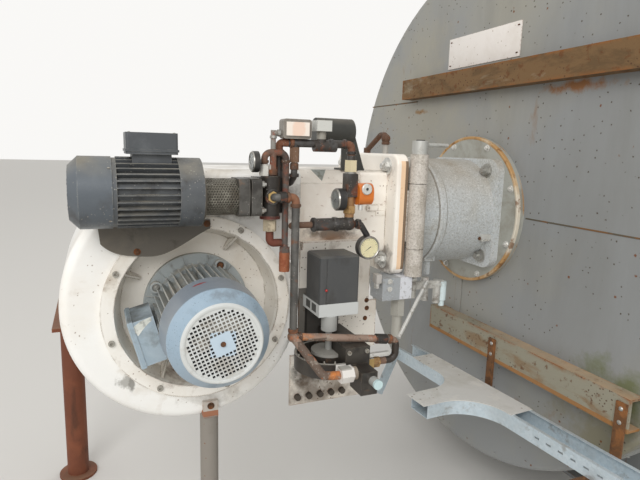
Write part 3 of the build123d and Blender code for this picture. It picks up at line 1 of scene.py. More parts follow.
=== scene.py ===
from math import cos, hypot, pi, radians, sin, sqrt

import bmesh
import bpy
from mathutils import Matrix, Vector


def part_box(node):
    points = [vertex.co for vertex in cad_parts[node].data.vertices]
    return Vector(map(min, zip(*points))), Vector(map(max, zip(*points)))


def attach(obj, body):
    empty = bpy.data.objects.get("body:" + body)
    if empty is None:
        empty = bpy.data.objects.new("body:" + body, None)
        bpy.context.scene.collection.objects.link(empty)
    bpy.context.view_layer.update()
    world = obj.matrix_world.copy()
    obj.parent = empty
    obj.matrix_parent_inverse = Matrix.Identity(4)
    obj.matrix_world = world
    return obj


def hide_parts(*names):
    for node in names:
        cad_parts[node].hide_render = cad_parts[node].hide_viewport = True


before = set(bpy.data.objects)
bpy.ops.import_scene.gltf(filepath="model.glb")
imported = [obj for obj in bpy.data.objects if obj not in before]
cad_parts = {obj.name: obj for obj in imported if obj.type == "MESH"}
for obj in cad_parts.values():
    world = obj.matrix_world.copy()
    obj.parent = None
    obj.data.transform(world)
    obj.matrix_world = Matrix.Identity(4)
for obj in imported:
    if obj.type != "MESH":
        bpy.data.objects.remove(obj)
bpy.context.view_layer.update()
scene = bpy.context.scene

# Standpoint: a wide lens at eye height beside the fan, turned towards the burner, nearly level.
# It tips down by ten degrees and leans by less than two.
eye = Vector((-1.910, -1.685, 1.338))
turn, tip, lean = radians(23.0), radians(9.79), radians(-1.66)
ahead = Vector((sin(turn) * cos(tip), cos(turn) * cos(tip), -sin(tip)))
sideways = Vector((cos(turn), -sin(turn), 0))
below = ahead.cross(sideways)
across = sideways * cos(lean) + below * sin(lean)
under = below * cos(lean) - sideways * sin(lean)
lens = bpy.data.cameras.new("standpoint")
lens.sensor_width = 36
lens.lens = 29.91
lens.clip_start = 0.05
lens.clip_end = 100
camera = bpy.data.objects.new("standpoint", lens)
scene.collection.objects.link(camera)
columns = (across, -under, -ahead, eye)
rows = [[column[row] for column in columns] for row in range(3)]
camera.matrix_world = Matrix(rows + [[0, 0, 0, 1]])
scene.camera = camera

# Floor and light: a pale screed, a soft even sky and two large soft lamps.
# The sky looks white only to the camera, in gloss and through glass.
scene.view_settings.view_transform = "Standard"


def put(tree, kind, inputs=None, **settings):
    """Adds a node. An input is a value or the output of another node."""
    made = tree.nodes.new(kind)
    for name, value in settings.items():
        setattr(made, name, value)
    for key, value in (inputs or {}).items():
        if isinstance(value, bpy.types.NodeSocket):
            tree.links.new(value, made.inputs[key])
        else:
            made.inputs[key].default_value = value
    return made


def maths(tree, first, second, operation="ADD"):
    return put(tree, "ShaderNodeMath", {0: first, 1: second}, operation=operation).outputs[0]


def tint(code):
    """A colour as it looks on a screen, with two hexadecimal digits each for red, green and blue."""
    return tuple((value / 255) ** 2.2 for value in code.to_bytes(3, "big")) + (1.0,)


sky = bpy.data.worlds.new("soft_sky")
sky.use_nodes = True
scene.world = sky
tree = sky.node_tree
tree.nodes.clear()
path = put(tree, "ShaderNodeLightPath").outputs
seen = maths(tree, maths(tree, path["Is Camera Ray"], path["Is Glossy Ray"]), path["Is Transmission Ray"])
level = put(tree, "ShaderNodeMapRange", {"Value": seen, "To Min": 0.84, "To Max": 0.95})
glow = put(tree, "ShaderNodeBackground", {"Strength": level.outputs[0], "Color": (1.0, 0.99, 0.97, 1)})
put(tree, "ShaderNodeOutputWorld", {"Surface": glow.outputs[0]})

for name, place, aim, width, power in (
    ("window_lamp", (-4.2, -4.6, 4.2), (-1.0, 0.0, 1.0), 3.2, 200),
    ("far_lamp", (6.5, 5.0, 4.5), (1.2, 0.0, 1.0), 4.0, 160),
):
    lamp = bpy.data.lights.new(name, "AREA")
    lamp.size = width
    lamp.energy = power
    holder = bpy.data.objects.new(name, lamp)
    scene.collection.objects.link(holder)
    holder.location = place
    holder.rotation_euler = (Vector(aim) - Vector(place)).to_track_quat("-Z", "Y").to_euler()

screed = bpy.data.materials.new("screed")
screed.use_nodes = True
surface = screed.node_tree.nodes["Principled BSDF"]
surface.inputs["Base Color"].default_value = tint(0xCDCBC7)
surface.inputs["Roughness"].default_value = 0.9
floor_mesh = bpy.data.meshes.new("floor")
REACH = 40.0
floor_corners = [(-REACH, -REACH, 0), (REACH, -REACH, 0), (REACH, REACH, 0), (-REACH, REACH, 0)]
floor_mesh.from_pydata(floor_corners, [], [(0, 1, 2, 3)])
floor_mesh.materials.append(screed)
floor = bpy.data.objects.new("floor", floor_mesh)
scene.collection.objects.link(floor)

# Jacket of the drum: grey painted sheet over the insulation, in sections lapped under raised bands.
# The bands are riveted, and the paint has faded and picked up dust, drips and rust flecks.


def mask_group(name, **given):
    """Starts a shader group with one mask output. Its inputs are numbers and vectors."""
    tree = bpy.data.node_groups.new(name, "ShaderNodeTree")
    for label, value in given.items():
        kind = "NodeSocketVector" if isinstance(value, tuple) else "NodeSocketFloat"
        tree.interface.new_socket(label, in_out="INPUT", socket_type=kind).default_value = value
    tree.interface.new_socket("Mask", in_out="OUTPUT", socket_type="NodeSocketFloat")
    return tree, tree.nodes.new("NodeGroupInput").outputs, tree.nodes.new("NodeGroupOutput").inputs["Mask"]


def object_place(tree):
    return put(tree, "ShaderNodeTexCoord").outputs["Object"]


def vectors(tree, first, second, operation="ADD"):
    return put(tree, "ShaderNodeVectorMath", {0: first, 1: second}, operation=operation).outputs[0]


def noise(tree, where, scale, detail, **more):
    inputs = {"Vector": where, "Scale": scale, "Detail": detail, **more}
    return put(tree, "ShaderNodeTexNoise", inputs).outputs[0]


def ramp(tree, value, low, high):
    """0 below low and 1 above high; the other way round where low is the higher one."""
    return put(tree, "ShaderNodeMapRange", {"Value": value, "From Min": low, "From Max": high}).outputs[0]


# worn edges: bare where a rounded normal leaves the flat one, broken up by a fine pattern
tree, given, mask = mask_group("worn_edges", Reach=0.004, Scale=60.0)
rounded = put(tree, "ShaderNodeBevel", {"Radius": given["Reach"]}, samples=4).outputs[0]
flat = put(tree, "ShaderNodeNewGeometry").outputs["Normal"]
facing = put(tree, "ShaderNodeVectorMath", {0: rounded, 1: flat}, operation="DOT_PRODUCT").outputs["Value"]
broken = ramp(tree, noise(tree, object_place(tree), given["Scale"], 5), 0.40, 0.56)
tree.links.new(maths(tree, ramp(tree, facing, 0.985, 0.86), broken, "MULTIPLY"), mask)

# patches: cloudy areas, stretched by a vector, for fading, grime and drips
tree, given, mask = mask_group("patches", Scale=5.0, Above=0.5, Soft=0.15, Stretch=(1, 1, 1))
spread = vectors(tree, object_place(tree), given["Stretch"], "MULTIPLY")
cloud = noise(tree, spread, given["Scale"], 7, Roughness=0.62, Distortion=0.3)
tree.links.new(ramp(tree, cloud, given["Above"], maths(tree, given["Above"], given["Soft"])), mask)

# flecks: small round spots that crowd together in places
tree, given, mask = mask_group("flecks", Scale=40.0, Share=0.2, Size=0.2, Crowd=2.0)
where = object_place(tree)
wobble = put(tree, "ShaderNodeTexNoise", {"Vector": where, "Scale": 300.0, "Detail": 2}).outputs["Color"]
shift = put(tree, "ShaderNodeVectorMath", {0: wobble, "Scale": 0.006}, operation="SCALE").outputs[0]
cells = {"Vector": vectors(tree, where, shift), "Scale": given["Scale"]}
cell = put(tree, "ShaderNodeTexVoronoi", cells).outputs
spot = ramp(tree, cell["Distance"], given["Size"], maths(tree, given["Size"], 0.6, "MULTIPLY"))
pick = put(tree, "ShaderNodeSeparateColor", {0: cell["Color"]}).outputs[0]
crowded = ramp(tree, noise(tree, where, given["Crowd"], 3), 0.42, 0.62)
chosen = maths(tree, pick, maths(tree, crowded, given["Share"], "MULTIPLY"), "LESS_THAN")
tree.links.new(maths(tree, spot, chosen, "MULTIPLY"), mask)

# settled dust: on what looks upwards, in cloudy patches
tree, given, mask = mask_group("settled_dust", Scale=9.0, Steep=0.35)
normal = put(tree, "ShaderNodeNewGeometry").outputs["Normal"]
upward = put(tree, "ShaderNodeSeparateXYZ", {0: normal}).outputs["Z"]
shelf = ramp(tree, upward, given["Steep"], maths(tree, given["Steep"], 0.5))
film = ramp(tree, noise(tree, object_place(tree), given["Scale"], 6), 0.30, 0.65)
tree.links.new(maths(tree, shelf, film, "MULTIPLY"), mask)

# stain: a ragged blot round one point
tree, given, mask = mask_group("stain", Centre=(0, 0, 0), Size=(0.1, 0.1, 0.1), Ragged=0.5, Scale=30.0)
where = object_place(tree)
share = vectors(tree, vectors(tree, where, given["Centre"], "SUBTRACT"), given["Size"], "DIVIDE")
out = put(tree, "ShaderNodeVectorMath", {0: share}, operation="LENGTH").outputs["Value"]
rag = maths(tree, noise(tree, where, given["Scale"], 6, Roughness=0.65), 0.5, "SUBTRACT")
rag = maths(tree, maths(tree, rag, given["Ragged"], "MULTIPLY"), 4.0, "MULTIPLY")
soft_rim = maths(tree, 0.97, given["Ragged"], "SUBTRACT")
tree.links.new(ramp(tree, maths(tree, out, rag), 1.0, soft_rim), mask)

# zone: a part of a casting that is machined or painted apart, or a patch of painted shade, between two
# corners
tree, given, mask = mask_group("zone", Low=(0, 0, 0), High=(1, 1, 1))
where = object_place(tree)
above = vectors(tree, where, given["Low"], "SUBTRACT")
short = vectors(tree, given["High"], where, "SUBTRACT")
parts = put(tree, "ShaderNodeSeparateXYZ", {0: vectors(tree, above, short, "MINIMUM")}).outputs
least = maths(tree, maths(tree, parts[0], parts[1], "MINIMUM"), parts[2], "MINIMUM")
tree.links.new(maths(tree, least, 0.0, "GREATER_THAN"), mask)

# spangle: the flat crystals of hot-dip zinc
tree, given, mask = mask_group("spangle", Scale=90.0)
crystal = put(tree, "ShaderNodeTexVoronoi", {"Vector": object_place(tree), "Scale": given["Scale"]})
tree.links.new(put(tree, "ShaderNodeSeparateColor", {0: crystal.outputs["Color"]}).outputs[0], mask)


def coat(kind, *labels):
    """Makes the call that writes one coat, blot or wear of a finish.

    It takes a colour, how strongly it covers, and its mask's inputs in the order of the labels."""

    def write(colour, strength, *values, rough=None, metal=None, rise=0.0):
        return kind, tint(colour), strength, rough, metal, rise, dict(zip(labels, values))

    return write


patches = coat("patches", "Scale", "Above", "Soft", "Stretch")
flecks = coat("flecks", "Scale", "Share", "Size", "Crowd")
worn = coat("worn_edges", "Reach", "Scale")
dust = coat("settled_dust", "Scale", "Steep")
spangle = coat("spangle", "Scale")
stain = coat("stain", "Centre", "Size", "Ragged", "Scale")
between = coat("zone", "Low", "High")
FAR = 9.0


def zone(colour, strength, x=(-FAR, FAR), y=(-FAR, FAR), z=(0, FAR), **wear):
    """What lies within these bounds, in a colour of its own or in painted shade."""
    return between(colour, strength, *zip(x, y, z), **wear)


def finish(name, colour, layers, rough=0.5, metal=0.0, grain=500.0, relief=0.25, depth=0.0006, shine=0.0):
    """A painted or bare surface: its colour, the layers on it from below, and a fine relief."""
    material = bpy.data.materials.new(name)
    material.use_nodes = True
    tree = material.node_tree
    shader = tree.nodes["Principled BSDF"]
    shader.inputs["Coat Weight"].default_value = shine
    height = maths(tree, noise(tree, object_place(tree), grain, 3), relief, "MULTIPLY")
    shown, dull, bare = tint(colour), rough, metal
    for kind, paint, strength, paint_rough, paint_metal, rise, inputs in layers:
        group = put(tree, "ShaderNodeGroup", inputs, node_tree=bpy.data.node_groups[kind])
        share = maths(tree, group.outputs[0], strength, "MULTIPLY")
        shown = put(tree, "ShaderNodeMix", {0: share, 6: shown, 7: paint}, data_type="RGBA").outputs[2]
        if paint_rough is not None:
            dull = put(tree, "ShaderNodeMix", {0: share, 2: dull, 3: paint_rough}).outputs[0]
        if paint_metal is not None:
            bare = put(tree, "ShaderNodeMix", {0: share, 2: bare, 3: paint_metal}).outputs[0]
        if rise:
            height = maths(tree, height, maths(tree, share, rise, "MULTIPLY"))
    plain = {"Base Color": tint(colour), "Roughness": rough, "Metallic": metal}
    for (socket, value), laid in zip(plain.items(), (shown, dull, bare)):
        shader.inputs[socket].default_value = value
        if isinstance(laid, bpy.types.NodeSocket):
            tree.links.new(laid, shader.inputs[socket])
    bump = put(tree, "ShaderNodeBump", {"Height": height, "Distance": depth, "Strength": 1.0})
    tree.links.new(bump.outputs[0], shader.inputs["Normal"])
    return material


def dress(material, *nodes):
    """Gives the frame's own pieces their finish."""
    for name in nodes:
        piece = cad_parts[name]
        if not piece.data.materials:
            piece.data.materials.append(material)
        for slot in piece.material_slots:
            slot.material = material


def middle(low, high):
    return (low + high) / 2


def show(name, mesh, material, smooth=40.0):
    """Sets a finished mesh into the object."""
    mesh.materials.clear()
    mesh.materials.append(material)
    mesh.shade_smooth()
    mesh.set_sharp_from_angle(angle=radians(smooth))
    piece = bpy.data.objects.new(name, mesh)
    scene.collection.objects.link(piece)
    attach(piece, "root")
    return piece


def facing_place(point, normal):
    """Turns a shape made on its own Z axis to stand at a point, with Z along the normal."""
    stand = Vector(normal).to_track_quat("Z", "Y").to_matrix().to_4x4()
    return Matrix.Translation(Vector(point)) @ stand


def grow(name, tree, points, values, place, material):
    """Runs a geometry tree on a few points and keeps the result as a plain mesh."""
    seed = bpy.data.meshes.new(name + "_points")
    seed.from_pydata([tuple(point) for point in points], [], [])
    holder = bpy.data.objects.new(name + "_points", seed)
    scene.collection.objects.link(holder)
    modifier = holder.modifiers.new("grow", "NODES")
    modifier.node_group = tree
    sockets = {item.name: item.identifier for item in tree.interface.items_tree if item.in_out == "INPUT"}
    for label, value in values.items():
        modifier[sockets[label]] = value
    modifier[sockets["Finish"]] = material
    bpy.context.view_layer.update()
    mesh = bpy.data.meshes.new_from_object(holder.evaluated_get(bpy.context.evaluated_depsgraph_get()))
    bpy.data.objects.remove(holder)
    mesh.name = name
    mesh.transform(place)
    return show(name, mesh, material)


def geometry_tree(name, **given):
    """Starts a geometry tree with points, sizes and a finish going in."""
    tree = bpy.data.node_groups.new(name, "GeometryNodeTree")
    tree.interface.new_socket("Points", in_out="INPUT", socket_type="NodeSocketGeometry")
    for label, value in given.items():
        tree.interface.new_socket(label, in_out="INPUT", socket_type="NodeSocketFloat").default_value = value
    tree.interface.new_socket("Finish", in_out="INPUT", socket_type="NodeSocketMaterial")
    tree.interface.new_socket("Mesh", in_out="OUTPUT", socket_type="NodeSocketGeometry")
    return tree, tree.nodes.new("NodeGroupInput").outputs, tree.nodes.new("NodeGroupOutput").inputs["Mesh"]


def stacked(tree, sides, radius, height, foot=0.0):
    """A short prism that stands on the tree's ground, foot above it."""
    sizes = {"Vertices": sides, "Radius Top": radius, "Radius Bottom": radius, "Depth": height}
    prism = put(tree, "GeometryNodeMeshCone", sizes).outputs[0]
    place = put(tree, "ShaderNodeCombineXYZ", {"Z": foot}).outputs[0]
    return put(tree, "GeometryNodeTransform", {"Geometry": prism, "Translation": place}).outputs[0]


def scatter(tree, given, parts, result):
    """Joins the parts, stands one copy on each point with a turn of its own, and finishes them."""
    joined = tree.nodes.new("GeometryNodeJoinGeometry")
    for part in reversed(parts):
        tree.links.new(part, joined.inputs[0])
    angle = put(tree, "FunctionNodeRandomValue", {"Seed": 7}, data_type="FLOAT")
    angle.inputs[3].default_value = 2 * pi
    spin = put(tree, "ShaderNodeCombineXYZ", {"Z": angle.outputs[1]}).outputs[0]
    spread = {"Points": given["Points"], "Instance": joined.outputs[0], "Rotation": spin}
    copies = put(tree, "GeometryNodeInstanceOnPoints", spread)
    real = put(tree, "GeometryNodeRealizeInstances", {0: copies.outputs[0]})
    done = put(tree, "GeometryNodeSetMaterial", {"Geometry": real.outputs[0], "Material": given["Finish"]})
    tree.links.new(done.outputs[0], result)


rivets, given, result = geometry_tree("rivets", Head=0.004)
dome = put(rivets, "GeometryNodeMeshUVSphere", {"Segments": 10, "Rings": 6, "Radius": given["Head"]})
low_dome = put(rivets, "GeometryNodeTransform", {"Geometry": dome.outputs[0], "Scale": (1, 1, 0.5)})
scatter(rivets, given, [low_dome.outputs[0]], result)

jacket_paint = finish("jacket_paint", 0x929594, [
    patches(0xA0A09A, 0.7, 1.3, 0.42, 0.3),
    patches(0x706A5E, 0.55, 5.0, 0.52, 0.2, (1, 1, 0.12), rough=0.8),
    flecks(0x5C3C26, 0.8, 30.0, 0.35, 0.16, 1.2, rough=0.9),
    worn(0x6C5846, 0.7, 0.004, 30.0, rough=0.7),
    dust(0x968E80, 0.6, 4.0, 0.55, rough=0.95),
], rough=0.45, grain=35.0, relief=0.5, depth=0.0012)
dress(jacket_paint, "drum_shell", "rear_cover", "inspection_cover", "flue_outlet", "lifting_lugs")
jacket_low, jacket_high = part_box("drum_shell")
axis_z = middle(jacket_low, jacket_high).z
band_radius = (jacket_high.z - jacket_low.z) / 2
BAND_WIDTH, BANDS, RIVETS = 0.060, 4, 60
RIVET_HEAD = 0.0045
band_step = (jacket_high.x - jacket_low.x - BAND_WIDTH) / (BANDS - 1)
rivet_points = []
for band in range(BANDS):
    for edge_share in (0.2, 0.8):
        rivet_x = jacket_low.x + band * band_step + edge_share * BAND_WIDTH
        for step in range(RIVETS):
            angle = 2 * pi * (step + 0.5) / RIVETS
            if abs(sin(angle)) < 0.995:
                rivet_points.append((rivet_x, band_radius * sin(angle), axis_z + band_radius * cos(angle)))
grow("jacket_rivets", rivets, rivet_points, {"Head": RIVET_HEAD}, Matrix(), jacket_paint)

# Weld collars: a rough bead of weld round the flue outlet and both oil nozzles.
# Each follows the curve in which the round stub meets the jacket, in the jacket's own paint.
drum_radius = 0.965
BEAD = 0.006


def kept_mesh(name, shape):
    """Ends the building of a shape and keeps it as a mesh."""
    mesh = bpy.data.meshes.new(name)
    shape.to_mesh(mesh)
    shape.free()
    return mesh


def bead(name, route, radius, material):
    """A rough round bead along a closed route."""
    shape = bmesh.new()
    rings = []
    count = len(route)
    for index, point in enumerate(route):
        along = (route[(index + 1) % count] - route[index - 1]).normalized()
        side = along.cross(Vector((0.3, 0.2, 1))).normalized()
        up = side.cross(along)
        swell = radius * (1 + 0.18 * sin(index * 2.1) * cos(index * 0.7))
        ways = [side * cos(k * pi / 4) + up * sin(k * pi / 4) for k in range(8)]
        rings.append([shape.verts.new(point + swell * way) for way in ways])
    for index in range(count):
        first, second = rings[index], rings[(index + 1) % count]
        for k in range(8):
            shape.faces.new((first[k], first[(k + 1) % 8], second[(k + 1) % 8], second[k]))
    bmesh.ops.recalc_face_normals(shape, faces=shape.faces)
    return show(name, kept_mesh(name, shape), material, smooth=80)


for node, stub_radius in (("flue_outlet", 0.200), ("oil_inlet", 0.084), ("oil_outlet", 0.084)):
    centre_x = middle(*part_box(node)).x
    turns = int(2 * pi * stub_radius / 0.012)
    route = []
    for step in range(turns):
        angle = 2 * pi * step / turns
        y = stub_radius * sin(angle)
        route.append(Vector((centre_x + stub_radius * cos(angle), y, axis_z + sqrt(drum_radius**2 - y * y))))
    bead(node + "_weld", route, BEAD, jacket_paint)

# Front plate: insulated end plate of flat sheets, with two butt seams and a riveted edge strip.
# Grey paint, flecked with rust below the upper channel, a green film by the lower one.
plate_low, plate_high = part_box("front_plate")
x_front = plate_low.x
front_paint = finish("front_paint", 0x898B8B, [
    patches(0x989486, 0.8, 0.9, 0.44, 0.22),
    patches(0x767672, 0.5, 3.0, 0.52, 0.2, (1, 1, 0.25), rough=0.7),
    stain(0x9C9684, 0.55, (x_front, 0.45, axis_z + 0.40), (0.1, 0.42, 0.40), 0.5, 4.0),
    stain(0x62683E, 0.8, (x_front, -0.70, axis_z - 0.47), (0.1, 0.20, 0.11), 0.6, 12.0, rough=0.8),
    stain(0x78704E, 0.6, (x_front, -0.72, axis_z - 0.62), (0.1, 0.30, 0.16), 0.7, 9.0, rough=0.8),
    patches(0x805832, 0.45, 9.0, 0.65, 0.08, (1, 1, 0.35), rough=0.85),
    stain(0x8C5C30, 0.9, (x_front, -0.46, axis_z + 0.428), (0.1, 0.16, 0.022), 0.8, 25.0, rough=0.85),
    stain(0x8A683E, 0.8, (x_front, 0.40, axis_z + 0.391), (0.1, 0.055, 0.012), 0.6, 40.0, rough=0.85),
    flecks(0x463A2E, 0.95, 40.0, 0.85, 0.13, 1.6, rough=0.8),
    flecks(0x704222, 0.95, 22.0, 0.30, 0.12, 1.6, rough=0.9),
    worn(0x785436, 0.8, 0.006, 25.0, rough=0.8),
], rough=0.42, grain=28.0, relief=0.6, depth=0.0012)
dress(front_paint, "front_plate")
SEAM_WIDTH, SEAM_PROUD = 0.005, 0.0012


def box_mesh(name, low, high, rounding=0.0, rings=2):
    """A box between two corners with rounded edges."""
    shape = bmesh.new()
    bmesh.ops.create_cube(shape, size=1.0)
    size = Vector(high) - Vector(low)
    for corner in shape.verts:
        corner.co = Vector([corner.co[k] * size[k] + (low[k] + high[k]) / 2 for k in range(3)])
    if rounding:
        edges = shape.edges[:] + shape.verts[:]
        bmesh.ops.bevel(shape, geom=edges, offset=rounding, segments=rings, profile=0.6, affect="EDGES")
    return kept_mesh(name, shape)


seam_dirt = finish("seam_dirt", 0x585246, [patches(0x785432, 0.8, 14.0, 0.48, 0.1)], rough=0.9)
for name, y0, y1, z0, z1 in (
    ("seam_right", -0.93, -0.286, -SEAM_WIDTH / 2, SEAM_WIDTH / 2),
    ("seam_upper_left", 0.43, 0.86, 0.435, 0.435 + SEAM_WIDTH),
):
    seam = box_mesh(name, (x_front - SEAM_PROUD, y0, axis_z + z0), (x_front, y1, axis_z + z1), 0.0004, 1)
    show(name, seam, seam_dirt)
strip_low, strip_high = (x_front - 0.003, 0.025, axis_z - 0.46), (x_front, 0.065, axis_z - 0.285)
strip = box_mesh("seam_lower", strip_low, strip_high, 0.0008, 1)
show("seam_lower", strip, front_paint)
EDGE_SCREWS, EDGE_IN = 36, 0.030
edge_turns = [2 * pi * (k + 0.5) / EDGE_SCREWS for k in range(EDGE_SCREWS)]
ring = [(drum_radius - EDGE_IN) * Vector((0, sin(turn_at), cos(turn_at))) for turn_at in edge_turns]
for name, x in (("front_rim_rivets", plate_low.x), ("rear_rim_rivets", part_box("rear_cover")[1].x)):
    spots = [Vector((x, 0, axis_z)) + offset for offset in ring]
    grow(name, rivets, spots, {"Head": RIVET_HEAD}, Matrix(), front_paint)

# Sign plate: a bare off-white enamelled plate above the upper channel.
# Thin sheet with rusty edges, held by a round-headed screw at each corner.
SIGN_LOW, SIGN_HIGH = (-0.190, 0.549), (0.215, 0.668)
SIGN_THICK = 0.003
sign_enamel = finish("sign_enamel", 0xE2DCD6, [
    patches(0xC8BEB2, 0.5, 8.0, 0.45, 0.25),
    flecks(0x96826C, 0.7, 60.0, 0.3, 0.18, 4.0),
    worn(0x784E2C, 0.9, 0.003, 90.0, rough=0.9),
], rough=0.35, shine=0.3)
sign_corner = (x_front - SIGN_THICK, SIGN_LOW[0], axis_z + SIGN_LOW[1])
sign = box_mesh("sign_plate", sign_corner, (x_front, SIGN_HIGH[0], axis_z + SIGN_HIGH[1]), 0.0012)
show("sign_plate", sign, sign_enamel)
zinc_bolt = finish("zinc_bolt", 0xB0AFAA, [
    patches(0x7A7266, 0.6, 60.0, 0.50, 0.15, rough=0.7, metal=0.4),
    flecks(0x784624, 0.9, 240.0, 0.5, 0.35, 30.0, rough=0.9, metal=0.0),
], rough=0.38, metal=0.85, grain=900.0)
rusty_bolt = finish("rusty_bolt", 0x604634, [
    patches(0x804E2C, 0.9, 90.0, 0.48, 0.12),
    patches(0x3C3028, 0.8, 50.0, 0.52, 0.12),
], rough=0.85, metal=0.2, grain=700.0, relief=0.8)
SCREW_IN = 0.014
corners = []
for y in (SIGN_LOW[0] + SCREW_IN, SIGN_HIGH[0] - SCREW_IN):
    for z in (SIGN_LOW[1] + SCREW_IN, SIGN_HIGH[1] - SCREW_IN):
        corners.append((x_front - SIGN_THICK, y, axis_z + z))
grow("sign_screws", rivets, corners, {"Head": 0.005}, Matrix(), rusty_bolt)

# Saddles: welded steel carriers under the drum, standing on the floor.
# Painted much as the drum, with rust along their edges and dust on their feet.
saddle_paint = finish("saddle_paint", 0x808282, [
    patches(0x685C4E, 0.6, 4.0, 0.5, 0.15, rough=0.8),
    flecks(0x6E4224, 0.9, 40.0, 0.4, 0.2, 2.0, rough=0.9),
    worn(0x744A2C, 0.9, 0.006, 30.0, rough=0.85),
    dust(0x867C6C, 0.7, 8.0, 0.4, rough=0.95),
], rough=0.5, grain=60.0, relief=0.5)
dress(saddle_paint, "front_saddle", "rear_saddle")

# Oil nozzles: steel stubs with flanges on top of the drum.
# Black lacquer, rubbed bare on the edges, with rust patches and dust.
nozzle_lacquer = finish("nozzle_lacquer", 0x3A3632, [
    patches(0x5C402C, 0.7, 9.0, 0.52, 0.12, rough=0.85),
    worn(0x786858, 0.8, 0.004, 40.0, rough=0.5, metal=0.6),
    dust(0x706454, 0.5, 10.0, 0.5, rough=0.95),
], rough=0.55)
dress(nozzle_lacquer, "oil_inlet", "oil_outlet")

# Inspection cover on the rear end: a round lid in the jacket's paint.
# A circle of hexagon bolts with washers holds it by its flange.
hexagon = {"Head": 0.010, "Height": 0.008, "Washer": 0.012, "Shim": 0.002, "Stub": 0.005, "End": 0.004}
bolts, given, result = geometry_tree("hexagon_bolts", **hexagon)
washer = stacked(bolts, 20, given["Washer"], given["Shim"])
head = stacked(bolts, 6, given["Head"], given["Height"], given["Shim"])
head_top = maths(bolts, given["Height"], given["Shim"])
crown_radius = maths(bolts, given["Head"], 0.84, "MULTIPLY")
crown = stacked(bolts, 18, crown_radius, maths(bolts, given["Head"], 0.08, "MULTIPLY"), head_top)
stub = stacked(bolts, 12, given["Stub"], given["End"], head_top)
scatter(bolts, given, [washer, head, crown, stub], result)


def bolt_sizes(size, washer=1.0, end=0.5):
    """The parts of a hexagon bolt in proportion to its thread."""
    return {
        "Head": size * 0.92,
        "Height": size * 0.65,
        "Washer": size * 1.1 * washer,
        "Shim": size * 0.16,
        "Stub": size * 0.5,
        "End": max(size * end, 0.0005),
    }


def circle_points(count, radius, start=0.0):
    turns = [start + 2 * pi * k / count for k in range(count)]
    return [(radius * cos(turn_at), radius * sin(turn_at), 0) for turn_at in turns]


low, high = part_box("inspection_cover")
COVER_BOLTS, COVER_CIRCLE, COVER_FLANGE = 16, 0.277, 0.018
lid_place = facing_place((low.x + COVER_FLANGE, 0, axis_z), (1, 0, 0))
cover_spots = circle_points(COVER_BOLTS, COVER_CIRCLE)
grow("cover_bolts", bolts, cover_spots, bolt_sizes(0.012), lid_place, zinc_bolt)

# Channels: two rolled steel sections across the front plate.
# What is left of their paint is pale, and rust has come through along the edges.
channel_layers = [
    patches(0x623E22, 0.8, 30.0, 0.57, 0.08, rough=0.92, rise=0.4),
    worn(0x885428, 1.0, 0.016, 18.0, rough=0.92, rise=0.5),
    flecks(0x4A301E, 0.9, 70.0, 0.8, 0.22, 4.0),
]
upper_rust = finish("upper_rust", 0x705638, [
    patches(0x968C78, 0.7, 7.0, 0.56, 0.10, (1, 0.5, 1.6)),
    patches(0x5C4830, 0.8, 12.0, 0.47, 0.10, (1, 0.5, 1.6), rough=0.9),
    *channel_layers,
], rough=0.8, grain=160.0, relief=0.7, depth=0.0015)
lower_rust = finish("lower_rust", 0x8E8A7A, [
    patches(0x80684C, 0.8, 9.0, 0.54, 0.10, (1, 0.5, 1.6)),
    *channel_layers,
    zone(0x966838, 0.85, z=(0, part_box("lower_channel")[0].z + 0.014), rough=0.9),
    dust(0xB29678, 0.9, 8.0, 0.4, rough=0.9),
], rough=0.75, grain=160.0, relief=0.7, depth=0.0015)
dress(upper_rust, "upper_channel")
dress(lower_rust, "lower_channel")

# Straps: two flat steel bars, bent under the tray and rusted brown.
# Each hangs from the lower channel by two rivets.
strap_rust = finish("strap_rust", 0x68482E, [
    patches(0x8C5C34, 0.8, 24.0, 0.5, 0.12),
    patches(0x423024, 0.8, 40.0, 0.55, 0.1),
], rough=0.9, grain=220.0, relief=0.9, depth=0.0012)
dress(strap_rust, "tray_straps")
strap_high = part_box("tray_straps")[1]
STRAP_Y, RIVET_DROP = (-0.235, -0.758), (0.018, 0.058)
spots = [(strap_high.z - drop, y, 0) for y in STRAP_Y for drop in RIVET_DROP]
on_strap = Matrix.Translation((strap_high.x - 0.006, 0, 0)) @ Matrix.Rotation(-pi / 2, 4, "Y")
grow("strap_rivets", rivets, spots, {"Head": 0.007}, on_strap, zinc_bolt)

# Cable tray and its cover: folded sheet, laid in the straps.
# Hot-dip galvanised, with its spangle on the tray, and dust dulling the cover.
zinc_sheet = finish("zinc_sheet", 0xBAC8D0, [
    spangle(0xD0DAE0, 0.55, 130.0, rough=0.35),
    patches(0xA0A6A6, 0.6, 9.0, 0.52, 0.2, rough=0.65, metal=0.1),
    patches(0x706454, 0.5, 20.0, 0.58, 0.1, rough=0.9, metal=0.0),
    dust(0x969084, 0.5, 7.0, 0.6, rough=0.95, metal=0.0),
], rough=0.5, metal=0.3, grain=120.0, relief=0.2)
dusty_zinc = finish("dusty_zinc", 0xD4D3CF, [
    patches(0xBAB7AE, 0.7, 7.0, 0.46, 0.16, rough=0.9, metal=0.0),
    patches(0xE0DED8, 0.8, 11.0, 0.58, 0.06, rough=0.4),
    flecks(0x786854, 0.8, 60.0, 0.4, 0.25, 5.0),
], rough=0.6, metal=0.1, grain=120.0, relief=0.3)
dress(zinc_sheet, "cable_tray")
dress(dusty_zinc, "tray_cover")

